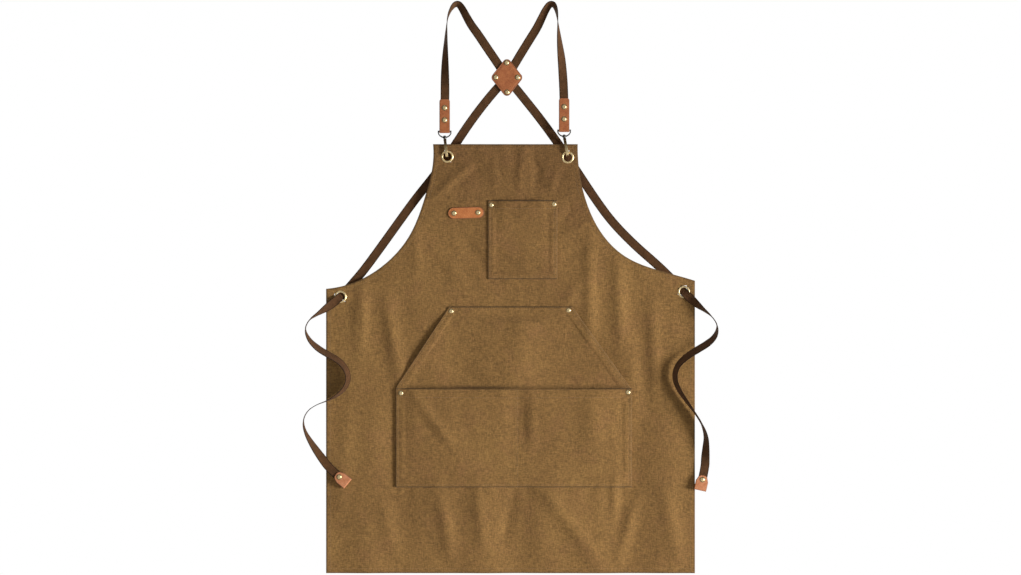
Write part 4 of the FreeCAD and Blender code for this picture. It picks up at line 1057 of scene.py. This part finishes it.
def leather_slab(name, hide, outline, front, thick, sink=None):
    """A flat cut leather shape with rounded edges and a creased line inside its border.

    The outline runs anticlockwise from the front; sink gives how far it follows the cloth.
    """
    spots = divided(outline, 2.5, closed=True)
    inward = -inward_ways(spots)[0]
    middle = spots.mean(axis=0)
    rings = []
    for d, y in ((0, 0.6), (0.15, 0.3), (0.45, 0.1), (0.9, 0), (1.5, 0), (1.8, 0.14), (2.05, 0.2),
                 (2.3, 0.14), (2.6, 0)):
        rings.append((spots + inward * d, front + y, d))
    inner = rings[-1][0]
    rings += [(middle + (inner - middle) * k, front, 9) for k in (0.8, 0.6, 0.4, 0.2, 0.08)]
    back = front + thick
    rings_back = [(spots + inward * d, back - y, d) for d, y in ((0, 0.6), (0.15, 0.3), (0.6, 0))]
    rings_back += [(middle + (spots - middle) * k, back, 9) for k in (0.7, 0.4, 0.1)]
    order = rings[::-1] + rings_back
    verts, rim = [], []
    for flat, y, d in order:
        fall = sink(flat[:, 0], flat[:, 1]) if sink else 0
        verts.append(np.c_[flat[:, 0], y + fall + np.zeros(len(flat)), flat[:, 1] - HANG_HEIGHT])
        rim.append(np.full(len(flat), d))
    mesh = make_mesh(name, (np.concatenate(verts) / 1000).tolist(), tube_faces(len(spots), len(order)), 60,
                     edge_mm=np.concatenate(rim))
    return place_piece(name, mesh, hides[hide])


BADGE, BADGE_LENGTH, BADGE_RADIUS, BADGE_LEAN = (-82.7, 670.2), 67.0, 10.5, radians(1.7)
half = BADGE_LENGTH / 2 - BADGE_RADIUS
stadium = [(half + BADGE_RADIUS * cos(a), BADGE_RADIUS * sin(a)) for a in np.linspace(-pi / 2, pi / 2, 19)]
stadium += [(-x, -h) for x, h in stadium]
lean = np.array([(cos(BADGE_LEAN), sin(BADGE_LEAN)), (-sin(BADGE_LEAN), cos(BADGE_LEAN))])
stadium = BADGE + np.array(stadium) @ lean
badge = leather_slab("blank_name_badge", "pale_tan_leather", stadium, -CLOTH - LEATHER, LEATHER, drape)
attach(badge, "apron")
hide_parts("name_badge")


# --- Cross patch ---
# Two leather diamonds with round corners, one each side of the place where the shoulder straps
# cross, held by four rivets.

PATCH, PATCH_SIZE, CORNER = (-6.7, 922.6), (57.0, 68.0), 8.0
PATCH_FRONT = 9.6  # behind the cloth's middle
LEFT_IN = PATCH_FRONT + LEATHER + WEBBING_THICK / 2
RIGHT_IN = LEFT_IN + WEBBING_THICK + 0.1
PATCH_BEHIND = PATCH_FRONT + 2 * LEATHER + 2 * WEBBING_THICK + 0.1
a, b = PATCH_SIZE[0] / 2 - CORNER, PATCH_SIZE[1] / 2 - CORNER
turn = np.arctan2(a, b)
diamond = []
for middle, spread, (x, h) in ((0, turn, (a, 0)), (pi / 2, pi / 2 - turn, (0, b)),
                               (pi, turn, (-a, 0)), (3 * pi / 2, pi / 2 - turn, (0, -b))):
    for way in np.linspace(middle - spread, middle + spread, 11):
        diamond.append((PATCH[0] + x + CORNER * cos(way), PATCH[1] + h + CORNER * sin(way)))
for name, front in (("front", PATCH_FRONT), ("back", PATCH_BEHIND - LEATHER)):
    made = leather_slab(
        f"cross_patch_leather_{name}", "oiled_tan_leather", np.array(diamond), front, LEATHER)
    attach(made, "apron")
    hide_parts(f"cross_patch_{name}")
PATCH_RIVETS = {"top": (-7.2, 950.0), "left": (-27.4, 922.8), "right": (13.4, 922.8), "bottom": (-6.3, 895.2)}
made = set_rivets("cross_patch_rivets", [f"cross_patch_rivet_{place}" for place in PATCH_RIVETS],
                  [(x, h, PATCH_FRONT, PATCH_BEHIND) for x, h in PATCH_RIVETS.values()], 20, 1.12)
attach(made, "apron")


# --- Shoulder straps ---
# The same webbing. Each runs up from a leather tab, turns over at the hanger, crosses the other
# inside the patch and comes down behind to the waist grommet on the other side.

LEFT_STRAP = [
    (-122.5, 1.0, 834, 0), (-122.5, 1.0, 852, 0), (-122.2, 1.0, 874, 0), (-121.8, 1.0, 894.5, 0),
    (-121.9, 1.0, 925, 20), (-121.6, 1.3, 957, 44), (-120.4, 1.9, 990, 68), (-118.9, 2.9, 1018, 85),
    (-117.0, 4.0, 1035, 94), (-111.8, 5.2, 1048.5, 106), (-104.5, 6.2, 1058.5, 122),
    (-96.8, 7.2, 1060.0, 134), (-90.0, 8.2, 1051, 143), (-83.0, 9.2, 1037.5, 151),
    (-73.5, 10.4, 1020.5, 161), (-60.5, 11.4, 1003, 174), (-44.5, LEFT_IN, 979, 180),
    (-26.4, LEFT_IN, 952.5, 180), (-6.7, LEFT_IN, 922.6, 180), (21.9, LEFT_IN, 887.6, 180),
    (57.6, 12.6, 843, 180), (89.6, 13.0, 798.5, 180), (121.2, 12.4, 752, 180),
    (156.4, 9.0, 698, 180), (189.0, 7.0, 653, 180), (232.7, 5.4, 608.6, 180),
    (271.7, 4.6, 575, 180), (298.0, 3.8, 549.5, 180), (314.6, 3.2, 531.8, 180),
    (319.3, 2.7, 526.7, 180), (322.5, 0.0, 523.2, 180),
]
RIGHT_STRAP = [
    (99.8, 1.0, 836, 0), (99.8, 1.0, 854, 0), (99.5, 1.0, 876, 0), (99.0, 1.0, 897.5, 0),
    (97.4, 1.0, 927, 12), (95.0, 1.3, 957, 28), (91.2, 1.9, 988, 54), (88.9, 2.9, 1015, 78),
    (87.8, 4.0, 1032, 94), (85.6, 5.2, 1048, 109), (80.8, 6.2, 1059.0, 124),
    (73.2, 7.2, 1059.4, 136), (65.6, 8.3, 1048.5, 145), (58.2, 9.6, 1033, 155),
    (49.5, 11.2, 1015, 166), (37.5, 12.6, 996, 176), (25.0, RIGHT_IN, 976, 180),
    (10.5, RIGHT_IN, 952, 180), (-6.7, RIGHT_IN, 922.6, 180), (-38.4, RIGHT_IN, 887.6, 180),
    (-72.8, 13.4, 843, 180), (-102.0, 13.2, 799, 180), (-136.0, 12.2, 747, 180),
    (-175.6, 8.6, 698, 180), (-208.1, 6.6, 653, 180), (-239.8, 5.2, 608.6, 180),
    (-272.3, 4.4, 564, 180), (-295.0, 3.7, 537.5, 180), (-308.2, 3.2, 522.4, 180),
    (-313.1, 2.7, 517.2, 180), (-316.4, 0.0, 514.1, 180),
]
for side, route, turn_side, x, lean in (
    ("left", LEFT_STRAP, 1, -121, -54), ("right", RIGHT_STRAP, -1, 92, 54),
):
    strap, _ = webbing(f"{side}_strap_webbing", route, turn_side, [-2, -1])
    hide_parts(f"{side}_shoulder_strap", f"{side}_strap_end")
    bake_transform(strap)


# --- Leather tabs ---
# The tan leather again: a strip folded round the swivel ring's straight side, with the end of the
# strap between its layers and two rivets through it all.

RING_BARS = {"left": (-122.5, 822.0), "right": (99.8, 824.0)}
SNAP_Y = 1.0
TAB_WIDTH, TAB_LENGTH = 19.5, 60.0
RING_WIRE = 2.5
for number, (side, (x, bar_h)) in enumerate(RING_BARS.items()):
    tab = folded_strip(
        f"{side}_folded_tab", "oiled_tan_leather", at(x, SNAP_Y, bar_h), Vector((0, 0, 1)),
        Vector((0, -1, 0)), TAB_WIDTH, TAB_LENGTH, WEBBING_THICK, RING_WIRE / 2 + 0.3 + LEATHER / 2, 5.0)
    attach(tab, f"{side}_tab")
    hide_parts(f"{side}_leather_tab")
    half = WEBBING_THICK / 2 + LEATHER
    places = [(x, bar_h + up, SNAP_Y - half, SNAP_Y + half) for up in (43.6, 20.8)]
    made = set_rivets(f"{side}_tab_rivets", [f"{side}_tab_rivet_upper", f"{side}_tab_rivet_lower"],
                      places, 30 + number, 1.15)
    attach(made, f"{side}_tab")
bpy.data.objects.remove(cap)


# --- Swivel snap hooks ---
# Small die-cast spring snaps: a dark plated ring, a post that turns in its boss, and an oval hook
# in antique brass with a sprung gate on a steel pin. Their cast edges are a little rounded.

# Black nickel plate over the casting, called gunmetal: dark, smooth, greyer on its high spots.
material, tree, shader = new_material("gunmetal_plate")
place = add(tree, "ShaderNodeTexCoord").outputs["Object"]
wear = add(tree, "ShaderNodeTexNoise", {"Vector": place, "Scale": 420.0, "Detail": 3.0})
plate = add(tree, "ShaderNodeMix", {0: wear, 6: srgb("#3A3836"), 7: srgb("#5E5B57")}, data_type="RGBA")
dull = add(tree, "ShaderNodeMapRange", {"Value": wear, "To Min": 0.28, "To Max": 0.48})
wire(tree, shader, {"Base Color": plate, "Roughness": dull, "Metallic": 1.0})
gunmetal = material

# Tempered spring steel, drawn and left bright with fine die lines.
material, tree, shader = new_material("drawn_spring_steel")
place = add(tree, "ShaderNodeTexCoord").outputs["Object"]
lines = add(tree, "ShaderNodeTexNoise", {"Vector": place, "Scale": 1500.0, "Detail": 2.0})
steel = add(tree, "ShaderNodeMix", {0: lines, 6: srgb("#8F9193"), 7: srgb("#B4B6B8")}, data_type="RGBA")
wire(tree, shader, {"Base Color": steel, "Metallic": 1.0, "Roughness": 0.32})
spring_steel = material

DARK_ABOVE = 793  # the hook's brass is drawn dark above this height and pale below it


def softened(node, name, width, metal, body):
    """A CAD part with its cast edges rounded, and a darkness for its material that is high above a set height
    and low below it.
    """
    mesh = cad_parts[node].data.copy()
    shape = bmesh.new()
    shape.from_mesh(mesh)
    bmesh.ops.remove_doubles(shape, verts=shape.verts, dist=1e-6)
    bmesh.ops.dissolve_limit(shape, angle_limit=radians(1), verts=shape.verts, edges=shape.edges)
    depth = shape.verts.layers.float.new("brass_darkness")
    for vert in shape.verts:
        vert[depth] = 0.1 + 0.85 * float(ease((vert.co.z * 1000 + HANG_HEIGHT - DARK_ABOVE) / 6))
    shape.to_mesh(mesh)
    made = place_piece(name, mesh, metal)
    bevel = made.modifiers.new("cast_edges", "BEVEL")
    bevel.width, bevel.segments = width / 1000, 2
    bevel.limit_method, bevel.angle_limit = "ANGLE", radians(35)
    make_plain(made)
    made.data.shade_smooth()
    made.data.set_sharp_from_angle(angle=radians(50))
    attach(made, body)
    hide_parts(node)


for side in RING_BARS:
    softened(f"{side}_swivel_ring", f"{side}_plated_ring", 0.15, gunmetal, f"{side}_ring")
    softened(f"{side}_swivel_post", f"{side}_plated_post", 0.2, gunmetal, f"{side}_hook")
    softened(f"{side}_snap_hook", f"{side}_brass_hook", 0.4, antique_brass, f"{side}_hook")
    softened(f"{side}_gate", f"{side}_brass_gate", 0.25, antique_brass, f"{side}_gate")
    for part in ("gate_pin", "gate_spring"):
        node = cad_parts[f"{side}_{part}"]
        for held_slot in node.material_slots:
            held_slot.material = spring_steel
        if not node.material_slots:
            node.data.materials.append(spring_steel)
